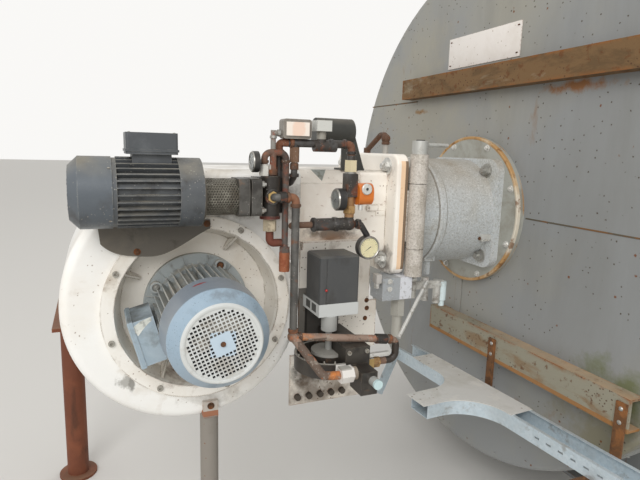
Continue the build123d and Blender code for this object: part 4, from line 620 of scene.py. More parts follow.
# Burner ring: a turned steel ring on the front plate, held by eight bolts.
# Its face is a worn grey, and its rim is a rusted band with patches of pale paint.
ring_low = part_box("burner_ring")[0]
ring_steel = finish("ring_steel", 0xA0A098, [
    patches(0x827D70, 0.7, 9.0, 0.48, 0.15, rough=0.7),
    flecks(0x543E2C, 0.9, 80.0, 0.6, 0.22, 6.0),
    worn(0xA2723A, 1.0, 0.018, 12.0, rough=0.85),
], rough=0.5, grain=90.0, relief=0.5)
dress(ring_steel, "burner_ring")


def lathe(name, profile, place, turns=48):
    """Turns a list of (radius, height) points about Z, and sets the shape in its place."""
    shape = bmesh.new()
    rings = []
    for radius, height in profile:
        circle = circle_points(turns, radius) if radius else [(0, 0, 0)]
        rings.append([shape.verts.new((x, y, height)) for x, y, _ in circle])
    for first, second in zip(rings, rings[1:]):
        for k in range(turns):
            loop = [(first, k), (first, k + 1), (second, k + 1), (second, k)]
            corners = list(dict.fromkeys(circle[at % len(circle)] for circle, at in loop))
            if len(corners) > 2:
                shape.faces.new(corners)
    bmesh.ops.recalc_face_normals(shape, faces=shape.faces)
    mesh = kept_mesh(name, shape)
    mesh.transform(place)
    return mesh


def turned(name, profile, place, material, turns=48, smooth=40.0):
    """A turned piece, set into the object."""
    return show(name, lathe(name, profile, place, turns), material, smooth)


bright_bolt = finish("bright_bolt", 0xD6D5D0, [
    patches(0x8C867A, 0.7, 80.0, 0.54, 0.1, rough=0.7),
], rough=0.35, metal=0.5)
RING_BOLTS, RING_CIRCLE = 8, 0.256
on_ring = facing_place((ring_low.x, 0, axis_z), (-1, 0, 0))
rim_rust = finish("rim_rust", 0xB48C5C, [
    stain(0xD6D0C2, 0.95, (ring_low.x, -0.27, axis_z - 0.03), (0.05, 0.07, 0.15), 0.3, 20.0),
    patches(0xCEC0A6, 0.7, 14.0, 0.50, 0.15, (1, 1, 0.5)),
    patches(0x7A5432, 0.8, 24.0, 0.55, 0.08, rough=0.9),
], rough=0.7, grain=160.0, relief=0.6)
rim_profile = [(0.268, 0), (0.2695, 0.0014), (0.2768, 0.0018), (0.2788, 0.0002)]
rim_profile += [(0.2790, -0.012), (0.2765, -0.014)]
turned("ring_rim", rim_profile, on_ring, rim_rust, 96)
ring_spots = circle_points(RING_BOLTS, RING_CIRCLE, pi / RING_BOLTS)
grow("ring_bolts", bolts, ring_spots, bolt_sizes(0.010, 1.1, 0.4), on_ring, bright_bolt)

# Mounting flange and burner tube: sand castings, bolted to the ring at the flange's corners.
# Grey paint, speckled and rubbed, with a small tab on the flange and a boss on the tube.
cast_paint = finish("cast_paint", 0xBCC0C1, [
    patches(0xA6A194, 0.7, 4.0, 0.48, 0.2),
    dust(0xAA9E8C, 0.7, 6.0, 0.05, rough=0.8),
    patches(0x929088, 0.5, 150.0, 0.52, 0.06),
    patches(0xD8D9D6, 0.6, 190.0, 0.56, 0.04),
    flecks(0x70685C, 0.5, 190.0, 0.9, 0.26, 14.0),
    patches(0x887862, 0.45, 8.0, 0.58, 0.12, rough=0.85),
    zone(0x686054, 0.7, x=(-0.841, -0.834)),
    zone(0x787062, 0.5, x=(-0.808, -0.804)),
    worn(0xC6C4BC, 0.6, 0.005, 60.0, rough=0.4),
    dust(0x928878, 0.6, 10.0, 0.5, rough=0.95),
], rough=0.42, grain=420.0, relief=0.9, depth=0.0008)
dress(cast_paint, "mounting_flange", "blast_tube")
pad_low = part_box("mounting_flange")[0]
PAD_Y, PAD_Z = 0.141, 0.156
pad_spots = [(y, z, 0) for y in (-PAD_Y, PAD_Y) for z in (-PAD_Z, PAD_Z)]
on_pad = facing_place((pad_low.x, 0, axis_z), (-1, 0, 0))
grow("pad_bolts", bolts, pad_spots, bolt_sizes(0.020, 1.15, 0.5), on_pad, zinc_bolt)
TAB_X, TAB_Y, TAB_HALF = -0.648, -0.176, 0.014
tab_foot, tab_top = (TAB_X, TAB_Y - TAB_HALF, axis_z - 0.094), (pad_low.x, TAB_Y + TAB_HALF, axis_z - 0.068)
show("pad_tab", box_mesh("pad_tab", tab_foot, tab_top, 0.003), bright_bolt)
on_tab = facing_place((TAB_X, TAB_Y, axis_z - 0.084), (-1, 0, 0))
grow("tab_screw", bolts, [(0, 0, 0)], bolt_sizes(0.006, 1.0, 0.1), on_tab, rusty_bolt)
foot_profile = [(0, 0.007), (0.022, 0.007), (0.0235, 0.0055), (0.0235, 0.001), (0.022, 0), (0, 0)]
foot_place = Matrix.Translation((-0.8145, -0.100, axis_z - 0.170))
turned("sight_boss_foot", foot_profile, foot_place, cast_paint, 36)

# Rear flange: the burner's own cast flange, with a bolt at each corner.
# Cream paint, sooty by the lower bolt, with a rusty orange strip on its edge.
flange_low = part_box("rear_flange")[0]
cream = 0xF8F2E8
soot = 0x544638
cream_layers = [
    patches(0xE0D2C2, 0.7, 5.0, 0.48, 0.25),
    patches(0xBEA68C, 0.45, 9.0, 0.58, 0.15, (1, 1, 0.35), rough=0.7),
    flecks(0x6E4E34, 0.8, 90.0, 0.5, 0.22, 7.0, rough=0.8),
    worn(0x967658, 0.55, 0.006, 40.0, rough=0.7),
]
flange_paint = finish("flange_paint", cream, [
    *cream_layers,
    zone(0xEAC094, 0.8, x=(-1.017, FAR), y=(-FAR, flange_low.y + 0.004)),
    zone(0x544436, 0.85, x=(-1.001, FAR), y=(-FAR, flange_low.y + 0.004), rough=0.9),
    patches(0xC4824E, 0.4, 16.0, 0.60, 0.1, (1, 1, 0.3), rough=0.8),
    stain(soot, 0.75, (flange_low.x, -0.155, axis_z - 0.144), (0.05, 0.062, 0.062), 0.35, 30.0),
    stain(0x78624E, 0.6, (flange_low.x, -0.155, axis_z + 0.150), (0.05, 0.05, 0.035), 0.5, 30.0),
], rough=0.38, grain=200.0, relief=0.4, shine=0.15)
dress(flange_paint, "rear_flange")
FLANGE_BOLTS = ((-0.162, 0.167), (0.162, 0.167), (-0.157, -0.144), (0.157, -0.144))
on_flange = Matrix.Translation((flange_low.x, 0, axis_z)) @ Matrix.Rotation(-pi / 2, 4, "Y")
flange_spots = [(z, y, 0) for y, z in FLANGE_BOLTS]
grow("flange_bolts", bolts, flange_spots, bolt_sizes(0.019, 1.35, 0.5), on_flange, bright_bolt)

# Hinge: cast knuckles in mottled grey, on which the burner can swing open.
# A worn steel pin joins them, with a black cap on its upper end.
knuckle_cast = finish("knuckle_cast", 0xC4BDB4, [
    patches(0xA0988C, 0.7, 18.0, 0.46, 0.15),
    patches(0x989084, 0.55, 160.0, 0.51, 0.06),
    patches(0xDAD5CB, 0.6, 200.0, 0.56, 0.04),
    flecks(0x6C6054, 0.5, 200.0, 0.6, 0.24, 16.0),
    worn(0x5C5044, 0.8, 0.003, 80.0),
], rough=0.5, grain=480.0, relief=1.0, depth=0.0009)
dress(knuckle_cast, "hinge_knuckles")
pin_steel = finish("pin_steel", 0xBABAB5, [
    patches(0x8C867C, 0.7, 30.0, 0.5, 0.15, rough=0.6),
], rough=0.4, metal=0.35)
dress(pin_steel, "hinge_pin")
pin_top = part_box("hinge_pin")[1].z
cap_rubber = finish("cap_rubber", 0x1A1816, [patches(0x34302C, 0.6, 90.0, 0.54)], rough=0.8)
PIN_X, PIN_Y = -0.958, -0.232
cap_profile = [(0, 0.003), (0.0125, 0.003), (0.0140, 0.0015), (0.0140, 0), (0, 0)]
turned("pin_cap", cap_profile, Matrix.Translation((PIN_X, PIN_Y, pin_top)), cap_rubber, 28)

# Air housing and fan scroll: castings in cream enamel, oil-stained and chipped.
# A small screwed lug and a notched bare patch sit on the housing's side.
x_fan, z_fan = -1.649, 0.879
SCROLL_Y = -0.205
housing_paint = finish("housing_paint", cream, [
    *cream_layers,
    stain(soot, 0.85, (-1.235, -0.165, axis_z - 0.045), (0.09, 0.05, 0.035), 0.5, 22.0, rough=0.6),
    stain(0x967052, 0.6, (-1.22, -0.165, axis_z - 0.085), (0.15, 0.06, 0.045), 0.6, 14.0),
    patches(0x966E52, 0.5, 26.0, 0.63, 0.06, (1, 1, 1.6), rough=0.8),
    worn(0x7A604A, 0.85, 0.009, 22.0, rough=0.8),
    dust(0x8C806E, 0.75, 9.0, 0.4, rough=0.95),
], rough=0.38, grain=200.0, relief=0.4, shine=0.15)
dress(housing_paint, "burner_housing")
DUCT_Y = -0.165
LUG_FRONT = DUCT_Y - 0.003
lug = box_mesh("duct_lug", (-1.072, LUG_FRONT, axis_z + 0.006), (-1.036, DUCT_Y, axis_z + 0.024), 0.0014)
show("duct_lug", lug, flange_paint)
lug_screw = [(-1.064, LUG_FRONT, axis_z + 0.015)]
grow("duct_lug_screw", rivets, lug_screw, {"Head": 0.003}, Matrix(), rusty_bolt)
MARK_X, MARK_HALF, MARK_PROUD = -1.2611, 0.025, 0.0008
mark_top = (-0.125 - MARK_PROUD, axis_z + 0.151 + MARK_PROUD)
mark_foot = (-0.158 - MARK_PROUD, axis_z + 0.118 + MARK_PROUD)
corners = [(MARK_X - MARK_HALF, *mark_top), (MARK_X, *mark_foot), (MARK_X + MARK_HALF, *mark_top)]
behind_mark = [(x, y + 2 * MARK_PROUD, z - 2 * MARK_PROUD) for x, y, z in corners]
mark = bpy.data.meshes.new("duct_mark")
mark.from_pydata(corners + behind_mark, [], [(0, 1, 2), (5, 4, 3), (0, 3, 4, 1), (1, 4, 5, 2), (2, 5, 3, 0)])
bare_patch = finish("bare_patch", 0x969A94, [patches(0x706E64, 0.7, 60.0, 0.50, 0.1, rough=0.7)], rough=0.6)
show("duct_mark", mark, bare_patch)
dent, dent_floor = (x_fan - 0.204, SCROLL_Y, z_fan - 0.194), (x_fan - 0.190, SCROLL_Y, z_fan - 0.206)
scroll_paint = finish("scroll_paint", 0xEEEDE9, [
    patches(0xE2DACE, 0.7, 4.0, 0.48, 0.25),
    patches(0xBEB2A0, 0.4, 8.0, 0.60, 0.12, rough=0.7),
    flecks(0x785C42, 0.7, 80.0, 0.4, 0.2, 6.0, rough=0.8),
    stain(0x605442, 0.9, (x_fan + 0.16, SCROLL_Y, z_fan + 0.30), (0.22, 0.1, 0.055), 0.5, 14.0, rough=0.6),
    stain(0x9E988E, 0.6, (x_fan + 0.03, SCROLL_Y, z_fan - 0.275), (0.09, 0.1, 0.03), 0.8, 22.0, rough=0.8),
    stain(0xA4A29C, 0.9, dent, (0.030, 0.05, 0.022), 0.5, 60.0, rough=0.7, rise=-0.5),
    stain(0x8C8A84, 0.95, dent_floor, (0.010, 0.05, 0.026), 0.4, 80.0, rough=0.7, rise=-0.8),
    worn(0xA08C76, 0.5, 0.008, 30.0, rough=0.7),
    dust(0x968A78, 0.6, 9.0, 0.45, rough=0.95),
], rough=0.36, grain=180.0, relief=0.4, shine=0.15)
dress(scroll_paint, "fan_scroll")

# Scroll cover: the dished, ribbed casting that carries the fan motor.
# Cream enamel with dirt in its corners, held by a circle of socket screws.
cover_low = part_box("scroll_cover")[0]
cover_dirt = (x_fan + 0.06, cover_low.y + 0.07, z_fan - 0.20)
cover_paint = finish("cover_paint", 0xEEEAE2, [
    patches(0xD8CEBE, 0.7, 7.0, 0.47, 0.22),
    patches(0x8C785E, 0.5, 11.0, 0.60, 0.12, rough=0.7),
    zone(0xAA9C86, 0.22, y=(cover_low.y + 0.014, 0)),
    stain(0x74543A, 0.8, cover_dirt, (0.16, 0.2, 0.05), 0.8, 26.0, rough=0.8),
    flecks(0x785A3E, 0.8, 110.0, 0.5, 0.22, 8.0, rough=0.8),
    worn(0x76624A, 0.85, 0.007, 26.0, rough=0.7),
], rough=0.38, grain=180.0, relief=0.4, shine=0.15)
dress(cover_paint, "scroll_cover")
screws, given, result = geometry_tree("socket_screws", Head=0.006, Height=0.004, Socket=0.0035)
rim = put(screws, "GeometryNodeCurvePrimitiveCircle", {"Resolution": 18, "Radius": given["Head"]})
key = put(screws, "GeometryNodeCurvePrimitiveCircle", {"Resolution": 6, "Radius": given["Socket"]})
outline = screws.nodes.new("GeometryNodeJoinGeometry")
for part in (rim, key):
    screws.links.new(part.outputs[0], outline.inputs[0])
face = put(screws, "GeometryNodeFillCurve", {"Curve": outline.outputs[0]}).outputs[0]
drawn_up = {"Mesh": face, "Offset Scale": given["Height"], "Individual": False}
body = put(screws, "GeometryNodeExtrudeMesh", drawn_up)
bottom = stacked(screws, 12, given["Socket"], maths(screws, given["Height"], 0.35, "MULTIPLY"))
scatter(screws, given, [body.outputs[0], bottom], result)
RIM_SCREWS, RIM_CIRCLE = 8, 0.250
dark_screw = finish("dark_screw", 0xA4A097, [
    patches(0x706252, 0.6, 120.0, 0.50, 0.1, rough=0.8),
], rough=0.5, metal=0.4)


def on_near_side(point):
    """Stands a flat pattern on a face that looks to -Y, with its own Y upwards."""
    return Matrix.Translation(Vector(point)) @ Matrix.Rotation(pi / 2, 4, "X")


on_cover = on_near_side((x_fan, cover_low.y, z_fan))
rim_spots = circle_points(RIM_SCREWS, RIM_CIRCLE, radians(17.5))
rim_screw = {"Head": 0.0085, "Height": 0.006, "Socket": 0.0042}
grow("cover_screws", screws, rim_spots, rim_screw, on_cover, dark_screw)

# Fan motor: ribbed die-cast frame in light blue-grey enamel, on four bosses, with a pressed cowl.
# The cowl's nose is a bright perforated disc, half clogged with lint; behind it a black disc is painted
# shade, with the lint on it.
body_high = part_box("fan_motor_body")[1]
cowl_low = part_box("fan_motor_cowl")[0]
motor_enamel = finish("motor_enamel", 0x9CA2A2, [
    patches(0xA4A6A2, 0.6, 14.0, 0.50, 0.2),
    patches(0x5C564E, 0.7, 20.0, 0.56, 0.12, rough=0.8),
    flecks(0xD4D0C6, 0.7, 160.0, 0.5, 0.25, 14.0),
    stain(0x802826, 0.95, (x_fan - 0.116, -0.163, z_fan + 0.062), (0.013, 0.03, 0.009), 0.3, 120.0),
    worn(0xB0B0AA, 0.6, 0.003, 60.0, rough=0.5),
    dust(0xA8A092, 0.8, 14.0, 0.2, rough=0.95),
], rough=0.45, grain=260.0, relief=0.5)
dress(motor_enamel, "fan_motor_body")
cowl_scuff = (x_fan + 0.01, cowl_low.y + 0.03, z_fan + 0.112)
nose_y = (-FAR, cowl_low.y + 0.0032)
hub_x, hub_z = (x_fan - 0.031, x_fan + 0.031), (z_fan - 0.031, z_fan + 0.031)
cowl_enamel = finish("cowl_enamel", 0x90A4B4, [
    patches(0xA4B4C0, 0.6, 6.0, 0.5, 0.2),
    patches(0x78848C, 0.5, 10.0, 0.56, 0.15, rough=0.6),
    flecks(0x545454, 0.7, 260.0, 0.7, 0.26, 12.0, rough=0.7),
    stain(0x70787E, 0.6, cowl_scuff, (0.05, 0.04, 0.012), 0.7, 70.0, rough=0.6),
    zone(0x7C828A, 0.85, y=(-0.466, FAR)),
    stain(0x963432, 0.95, (x_fan - 0.037, -0.412, z_fan + 0.120), (0.019, 0.0045, 0.03), 0.2, 90.0),
    zone(0xCCCDC9, 0.9, y=nose_y, rough=0.5),
    stain(0xA09A90, 0.8, (x_fan, cowl_low.y, z_fan - 0.01), (0.082, 0.006, 0.085), 0.9, 40.0, rough=0.95),
    zone(0xB6C8D6, 0.95, hub_x, nose_y, hub_z),
    worn(0xCED4D8, 0.5, 0.004, 50.0, rough=0.4),
], rough=0.34, grain=300.0, relief=0.25, shine=0.2)
dress(cowl_enamel, "fan_motor_cowl")
lint_top, lint_side = (x_fan + 0.005, cowl_low.y, z_fan + 0.045), (x_fan - 0.050, cowl_low.y, z_fan + 0.004)
# Behind the nose: a black disc of painted shade, with pale stains of lint on it.
lint_on_painted_shade = finish("lint_on_painted_shade", 0x0E0E0E, [
    stain(0x8C867C, 0.95, lint_top, (0.066, 0.02, 0.032), 0.5, 60.0, rough=1.0),
    stain(0x968E82, 0.9, lint_side, (0.022, 0.02, 0.024), 0.7, 70.0, rough=1.0),
    patches(0x867E72, 0.8, 60.0, 0.60, 0.05),
], rough=1.0, grain=500.0, relief=1.0)
behind = facing_place((x_fan, cowl_low.y + 0.0045, z_fan), (0, -1, 0))
lint_profile = [(0, 0.0008), (0.086, 0.0008), (0.0865, 0), (0.086, -0.0006), (0, -0.0006)]
turned("grille_lint_on_shade", lint_profile, behind, lint_on_painted_shade)
NOSE_SCREW = 0.006
on_nose = facing_place((x_fan, cowl_low.y, z_fan), (0, -1, 0))
grow("nose_screw", bolts, [(0, 0, 0)], bolt_sizes(NOSE_SCREW, 1.0, 0.1), on_nose, rusty_bolt)
nose_profile = [(0.0885, 0), (0.0885, 0.0015), (0.0905, 0.0028), (0.0955, 0.0022), (0.0975, 0.0)]
turned("nose_rim", nose_profile, on_nose, cowl_enamel, 72)
boss_top = body_high.y - 0.018 - 0.022
on_boss = on_near_side((x_fan, boss_top, z_fan))
boss_spots = circle_points(4, 0.1325, radians(61.5))
boss_bolt = bolt_sizes(0.009, 1.0, 0.4)
grow("boss_bolts", bolts, boss_spots[1:], boss_bolt, on_boss, zinc_bolt)
grow("boss_bolt_rusty", bolts, boss_spots[:1], boss_bolt, on_boss, rusty_bolt)
RIB_LOW, RIB_HIGH = (0.108, -0.0012, 0), (0.1485, 0.0012, 0.003)
on_flange_face = on_near_side((x_fan, -0.163, z_fan))
for step in range(12):
    rib_turn = radians(61.5 + 15 + 30 * step)
    rib = box_mesh("flange_rib", RIB_LOW, RIB_HIGH, 0.0008, 1)
    rib.transform(on_flange_face @ Matrix.Rotation(rib_turn, 4, "Z"))
    show(f"flange_rib_{step + 1}", rib, motor_enamel)
collar_profile = [(0.0105, 0), (0.0105, 0.004), (0.0118, 0.0055)]
collar_profile += [(0.0155, 0.0055), (0.0170, 0.004), (0.0170, 0)]
for step, (along, up, _) in enumerate(boss_spots):
    collar_place = on_near_side((x_fan + along, boss_top, z_fan + up))
    turned(f"boss_ring_{step + 1}", collar_profile, collar_place, motor_enamel, 28)

# Terminal box of the fan motor: a box and lid on the frame, in the motor's blue grey.
# Dust darkens its top, and a torn blank paper label sticks to its side.
box_enamel = finish("box_enamel", 0x96A7B2, [
    patches(0xA8B6C0, 0.7, 12.0, 0.48, 0.2),
    patches(0x707472, 0.7, 14.0, 0.54, 0.15, rough=0.7),
    dust(0x545756, 1.0, 14.0, 0.1, rough=0.8),
    worn(0xC4CACC, 0.6, 0.003, 60.0),
], rough=0.38, grain=300.0, relief=0.3, shine=0.2)
dress(box_enamel, "fan_terminal_box")
LABEL_EDGE = (
    (-0.190, -0.017),
    (-0.187, 0.003),
    (-0.170, 0.016),
    (-0.146, 0.025),
    (-0.143, 0.016),
    (-0.153, 0.007),
    (-0.160, 0.000),
    (-0.169, -0.012),
    (-0.177, -0.023),
    (-0.181, -0.015),
)
label_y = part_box("fan_terminal_box")[0].y + 0.0030
label_front = [(x_fan + along, label_y - 0.0007, z_fan + up) for along, up in LABEL_EDGE]
label_back = [(x, label_y + 0.0005, z) for x, _, z in label_front]
edge = len(LABEL_EDGE)
label = bpy.data.meshes.new("torn_label")
faces = [tuple(range(edge)), tuple(reversed(range(edge, 2 * edge)))]
faces += [(k, (k + 1) % edge, edge + (k + 1) % edge, edge + k) for k in range(edge)]
label.from_pydata(label_front + label_back, [], faces)
paper = finish("label_paper", 0xCED0C8, [
    patches(0x969892, 0.8, 60.0, 0.52, 0.08),
    patches(0xE4E4DE, 0.6, 40.0, 0.54, 0.08),
], rough=0.8)
show("torn_label", label, paper)

# Pump motor: finned frame in dark slate enamel, with its fan cowl to the left.
# The cowl's end has round vents in staggered rows, drawn as thin black discs of painted shade, and screws
# hold it at its rim.
cap_low, cap_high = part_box("pump_motor_cowl")
z_pump = middle(cap_low, cap_high).z
y_pump = middle(cap_low, cap_high).y
slate_enamel = finish("slate_enamel", 0x4E5154, [
    patches(0x5E6163, 0.7, 9.0, 0.48, 0.2),
    patches(0x343230, 0.7, 12.0, 0.54, 0.12, rough=0.5),
    flecks(0xB0ACA2, 0.75, 170.0, 0.55, 0.22, 11.0, rough=0.9),
    worn(0x969288, 0.6, 0.0025, 70.0, rough=0.6),
    dust(0x8E887A, 0.75, 12.0, 0.35, rough=0.95),
], rough=0.38, grain=260.0, relief=0.5)
cowl_slate = finish("cowl_slate", 0x565C62, [
    patches(0x646A6E, 0.7, 7.0, 0.46, 0.2),
    patches(0x42403E, 0.6, 9.0, 0.56, 0.12, rough=0.6),
    flecks(0xB0ACA2, 0.6, 150.0, 0.4, 0.2, 9.0, rough=0.9),
    worn(0x9E9E98, 0.6, 0.004, 60.0, rough=0.6),
    dust(0x8E887A, 0.7, 12.0, 0.4, rough=0.95),
], rough=0.36, grain=200.0, relief=0.4)
dress(slate_enamel, "pump_motor_body")
dress(cowl_slate, "pump_motor_cowl")
# The vents are painted shade: thin black discs where the holes are.
painted_vent_shade = finish("painted_vent_shade", 0x141312, [patches(0x3C362E, 0.7, 90.0, 0.55, 0.1)], rough=1.0)
holes, given, result = geometry_tree("round_vents", Hole=0.003)
scatter(holes, given, [stacked(holes, 8, given["Hole"], 0.0006)], result)
vents = []
VENT_PITCH, VENT_REACH = 0.0095, 0.058
steps = int(VENT_REACH / VENT_PITCH) + 1
for row in range(-steps, steps + 1):
    for column in range(-steps, steps + 1):
        across_row = (column + (row % 2) / 2) * VENT_PITCH
        up_row = row * VENT_PITCH * sqrt(3) / 2
        if 0.016 < hypot(across_row, up_row) < VENT_REACH:
            vents.append((across_row, up_row, 0))
on_cap = facing_place((cap_low.x, y_pump, z_pump), (-1, 0, 0))
grow("pump_cowl_vents", holes, vents, {"Hole": 0.0033}, on_cap, painted_vent_shade)
cowl_screw_spots = []
for step in range(4):
    angle = pi / 4 + step * pi / 2
    cowl_screw_spots.append((cap_high.x - 0.006, y_pump + 0.0872 * cos(angle), z_pump + 0.0872 * sin(angle)))
grow("pump_cowl_screws", rivets, cowl_screw_spots, {"Head": 0.004}, Matrix(), dark_screw)

# Terminal box of the pump motor: a dark moulded box, grey with dust on top.
# A screw at each corner holds its lid.
box_black = finish("box_black", 0x484B4E, [
    patches(0x5C5F62, 0.7, 14.0, 0.48, 0.2),
    worn(0x787874, 0.5, 0.003, 70.0),
    dust(0x767876, 0.85, 12.0, 0.5, rough=0.95),
], rough=0.42, grain=500.0, relief=0.4)
dress(box_black, "pump_terminal_box")
lid_low, lid_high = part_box("pump_terminal_box")
LID_IN = 0.010
lid_x, lid_y = (lid_low.x + LID_IN, lid_high.x - LID_IN), (lid_low.y + LID_IN, lid_high.y - LID_IN)
lid_spots = [(x, y, lid_high.z) for x in lid_x for y in lid_y]
grow("pump_lid_screws", rivets, lid_spots, {"Head": 0.0035}, Matrix(), dark_screw)

# Pump bracket: a steel plate on the scroll's face, dark with oil.
# Two rusty bolts with washers hold it.
oily_steel = finish("oily_steel", 0x5A554D, [
    patches(0x746C60, 0.7, 7.0, 0.5, 0.2, rough=0.8),
    patches(0x3A342C, 0.6, 15.0, 0.57, 0.1, rough=0.4),
    worn(0x787064, 0.6, 0.003, 50.0, metal=0.4),
], rough=0.5, grain=200.0, relief=0.6)
dress(oily_steel, "pump_bracket")
bracket_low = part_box("pump_bracket")[0]
bracket_spots = [(-1.8155, axis_z - 0.066, 0), (-1.6305, axis_z + 0.004, 0)]
on_bracket = on_near_side((0, bracket_low.y, 0))
bracket_bolt = bolt_sizes(0.007, 1.2, 0.3)
grow("bracket_bolts", bolts, bracket_spots, bracket_bolt, on_bracket, rusty_bolt)

# Coupling guard: a rolled steel sheet with staggered round holes, between motor and pump.
# It stands on a turned collar, and the coupling's dark core shows through its holes.
guard_low, guard_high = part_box("coupling_guard")
GUARD_RADIUS, GUARD_SHEET = 0.048, 0.0012
GUARD_FLANGE = 0.010
HOLE, PITCH = 0.0021, 0.0066
guard_axis = Vector((0, middle(guard_low, guard_high).y, middle(guard_low, guard_high).z))
perforated = finish("perforated", 0x706C62, [
    patches(0x4A4238, 0.8, 20.0, 0.48, 0.15, rough=0.7),
    patches(0x969286, 0.6, 30.0, 0.56, 0.1),
], rough=0.5, metal=0.5)


def punched_sheet(name, length, around, pitch, hole):
    """A sheet of staggered cells with a round hole in each, before it is rolled."""
    shape = bmesh.new()
    columns = int(length / pitch)
    step = length / columns
    rows = int(around / pitch / 2) * 2
    rise = around / rows
    for row in range(rows):
        for column in range(columns + 1):
            shift = 0.5 * (row % 2)
            left = max(0.0, (column - shift) * step)
            right = min(length, (column + 1 - shift) * step)
            if right - left < step * 0.4:
                continue
            centre = Vector(((left + right) / 2, (row + 0.5) * rise, 0))
            low, high = row * rise, (row + 1) * rise
            ends = ((right, high), (left, high), (left, low), (right, low))
            square = [shape.verts.new((x, y, 0)) for x, y in ends]
            if right - left < step * 0.9:
                shape.faces.new(square)
                continue
            ways = [Vector((cos(k * pi / 4), sin(k * pi / 4), 0)) for k in range(8)]
            round_hole = [shape.verts.new(centre + hole * way) for way in ways]
            for k in range(4):
                inner = [round_hole[(2 * k + step_on) % 8] for step_on in (3, 2, 1)]
                shape.faces.new((square[k], square[(k + 1) % 4], *inner))
    bmesh.ops.remove_doubles(shape, verts=shape.verts, dist=1e-6)
    return kept_mesh(name, shape)


guard_length = guard_high.x - guard_low.x - GUARD_FLANGE
guard_round = 2 * pi * GUARD_RADIUS
sheet = punched_sheet("guard_sheet", guard_length, guard_round, PITCH, HOLE)
for vertex in sheet.vertices:
    angle = vertex.co.y / GUARD_RADIUS
    x = guard_low.x + GUARD_FLANGE + vertex.co.x
    vertex.co = guard_axis + Vector((x, GUARD_RADIUS * sin(angle), GUARD_RADIUS * cos(angle)))
guard = show("guard_sheet", sheet, perforated)
guard_ring = facing_place(guard_axis + Vector((guard_low.x, 0, 0)), (1, 0, 0))
guard_profile = [(0.030, 0), (0.060, 0), (0.060, 0.008), (0.058, 0.010), (0.030, 0.010), (0.030, 0)]
turned("guard_collar", guard_profile, guard_ring, oily_steel)
core_profile = [(0, 0.001), (0.030, 0.001), (0.030, 0.040), (0.038, 0.040)]
core_profile += [(0.038, 0.070), (0.022, 0.070), (0.022, 0.092), (0, 0.092)]
turned("guard_core", core_profile, guard_ring, oily_steel)
thicken = guard.modifiers.new("sheet", "SOLIDIFY")
thicken.thickness = GUARD_SHEET
thicken.offset = -1
bpy.context.view_layer.update()
guard.data = bpy.data.meshes.new_from_object(guard.evaluated_get(bpy.context.evaluated_depsgraph_get()))
guard.modifiers.clear()
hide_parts("coupling_guard")

# Oil pump: a black casting with a square flange towards the motor, which four bolts hold.
# The two bolts in front are shown. A red seal, a pale band and a rusty foot set it off.
x_upright = -1.475
seal_x, block_x = (x_upright - 0.034, x_upright + 0.03), (x_upright - 0.03, x_upright + 0.03)
seal_y, seal_z = (-FAR, y_pump + 0.03), (axis_z + 0.024, axis_z + 0.034)
pump_cast = finish("pump_cast", 0x322E2A, [
    zone(0x504E4A, 0.9, x=(-FAR, x_upright - 0.034), rough=0.5),
    zone(0x683228, 0.9, seal_x, seal_y, seal_z, rough=0.7),
    zone(0xBEB096, 0.9, block_x, z=(axis_z - 0.010, axis_z + 0.025), rough=0.6),
    zone(0x6E3E30, 0.9, x=(x_upright - 0.03, FAR), z=(0, axis_z - 0.010), rough=0.85),
    patches(0x221E1A, 0.7, 16.0, 0.5, 0.12, rough=0.35),
    patches(0x70543C, 0.5, 24.0, 0.58, 0.08, rough=0.85),
    flecks(0xBEBAB2, 0.6, 170.0, 0.45, 0.22, 12.0),
    worn(0x847C70, 0.6, 0.003, 60.0, rough=0.5),
], rough=0.42, grain=300.0, relief=0.7)
dress(pump_cast, "oil_pump")
FLANGE_SIDE, FLANGE_BOLT_IN = 0.098, 0.015
z_guard = guard_axis.z
pump_bolt = bolt_sizes(0.010, 1.0, 0.6)
reach = FLANGE_SIDE / 2 - FLANGE_BOLT_IN
for index, up in enumerate((-reach, reach)):
    on_pump = facing_place((guard_high.x + 0.061, y_pump - reach, z_guard + up), (1, 0, 0))
    grow(f"pump_flange_bolt_{index + 1}", bolts, [(0, 0, 0)], pump_bolt, on_pump, zinc_bolt)

# Oil pipes: threaded steel pipe with elbows and union nuts, black with oil or brown with rust.
# Nuts are zinc, brass or painted, and each fitting keeps its own colour.
pipe_wear = [
    flecks(0xAAA49A, 0.6, 180.0, 0.5, 0.25, 14.0),
    worn(0x847A6C, 0.5, 0.002, 90.0),
]
loop_rust = finish("loop_rust", 0x685044, [
    patches(0x925C42, 0.8, 26.0, 0.52, 0.1),
    patches(0x463E3A, 0.9, 20.0, 0.50, 0.1),
    zone(0x5C5A56, 0.8, x=(-1.450, FAR), z=(axis_z - 0.070, axis_z + 0.120)),
    zone(0xD2D0C8, 0.9, x=(-1.510, -1.475), z=(axis_z + 0.139, axis_z + 0.172), rough=0.4),
    zone(0x86847E, 0.9, z=(axis_z + 0.2125, FAR)),
    zone(0xA4603E, 0.8, x=(-1.460, FAR), z=(0, axis_z - 0.071)),
    patches(0x80422C, 0.6, 50.0, 0.52, 0.1, rough=0.9),
    *pipe_wear,
], rough=0.75, grain=240.0, relief=1.0, depth=0.001)
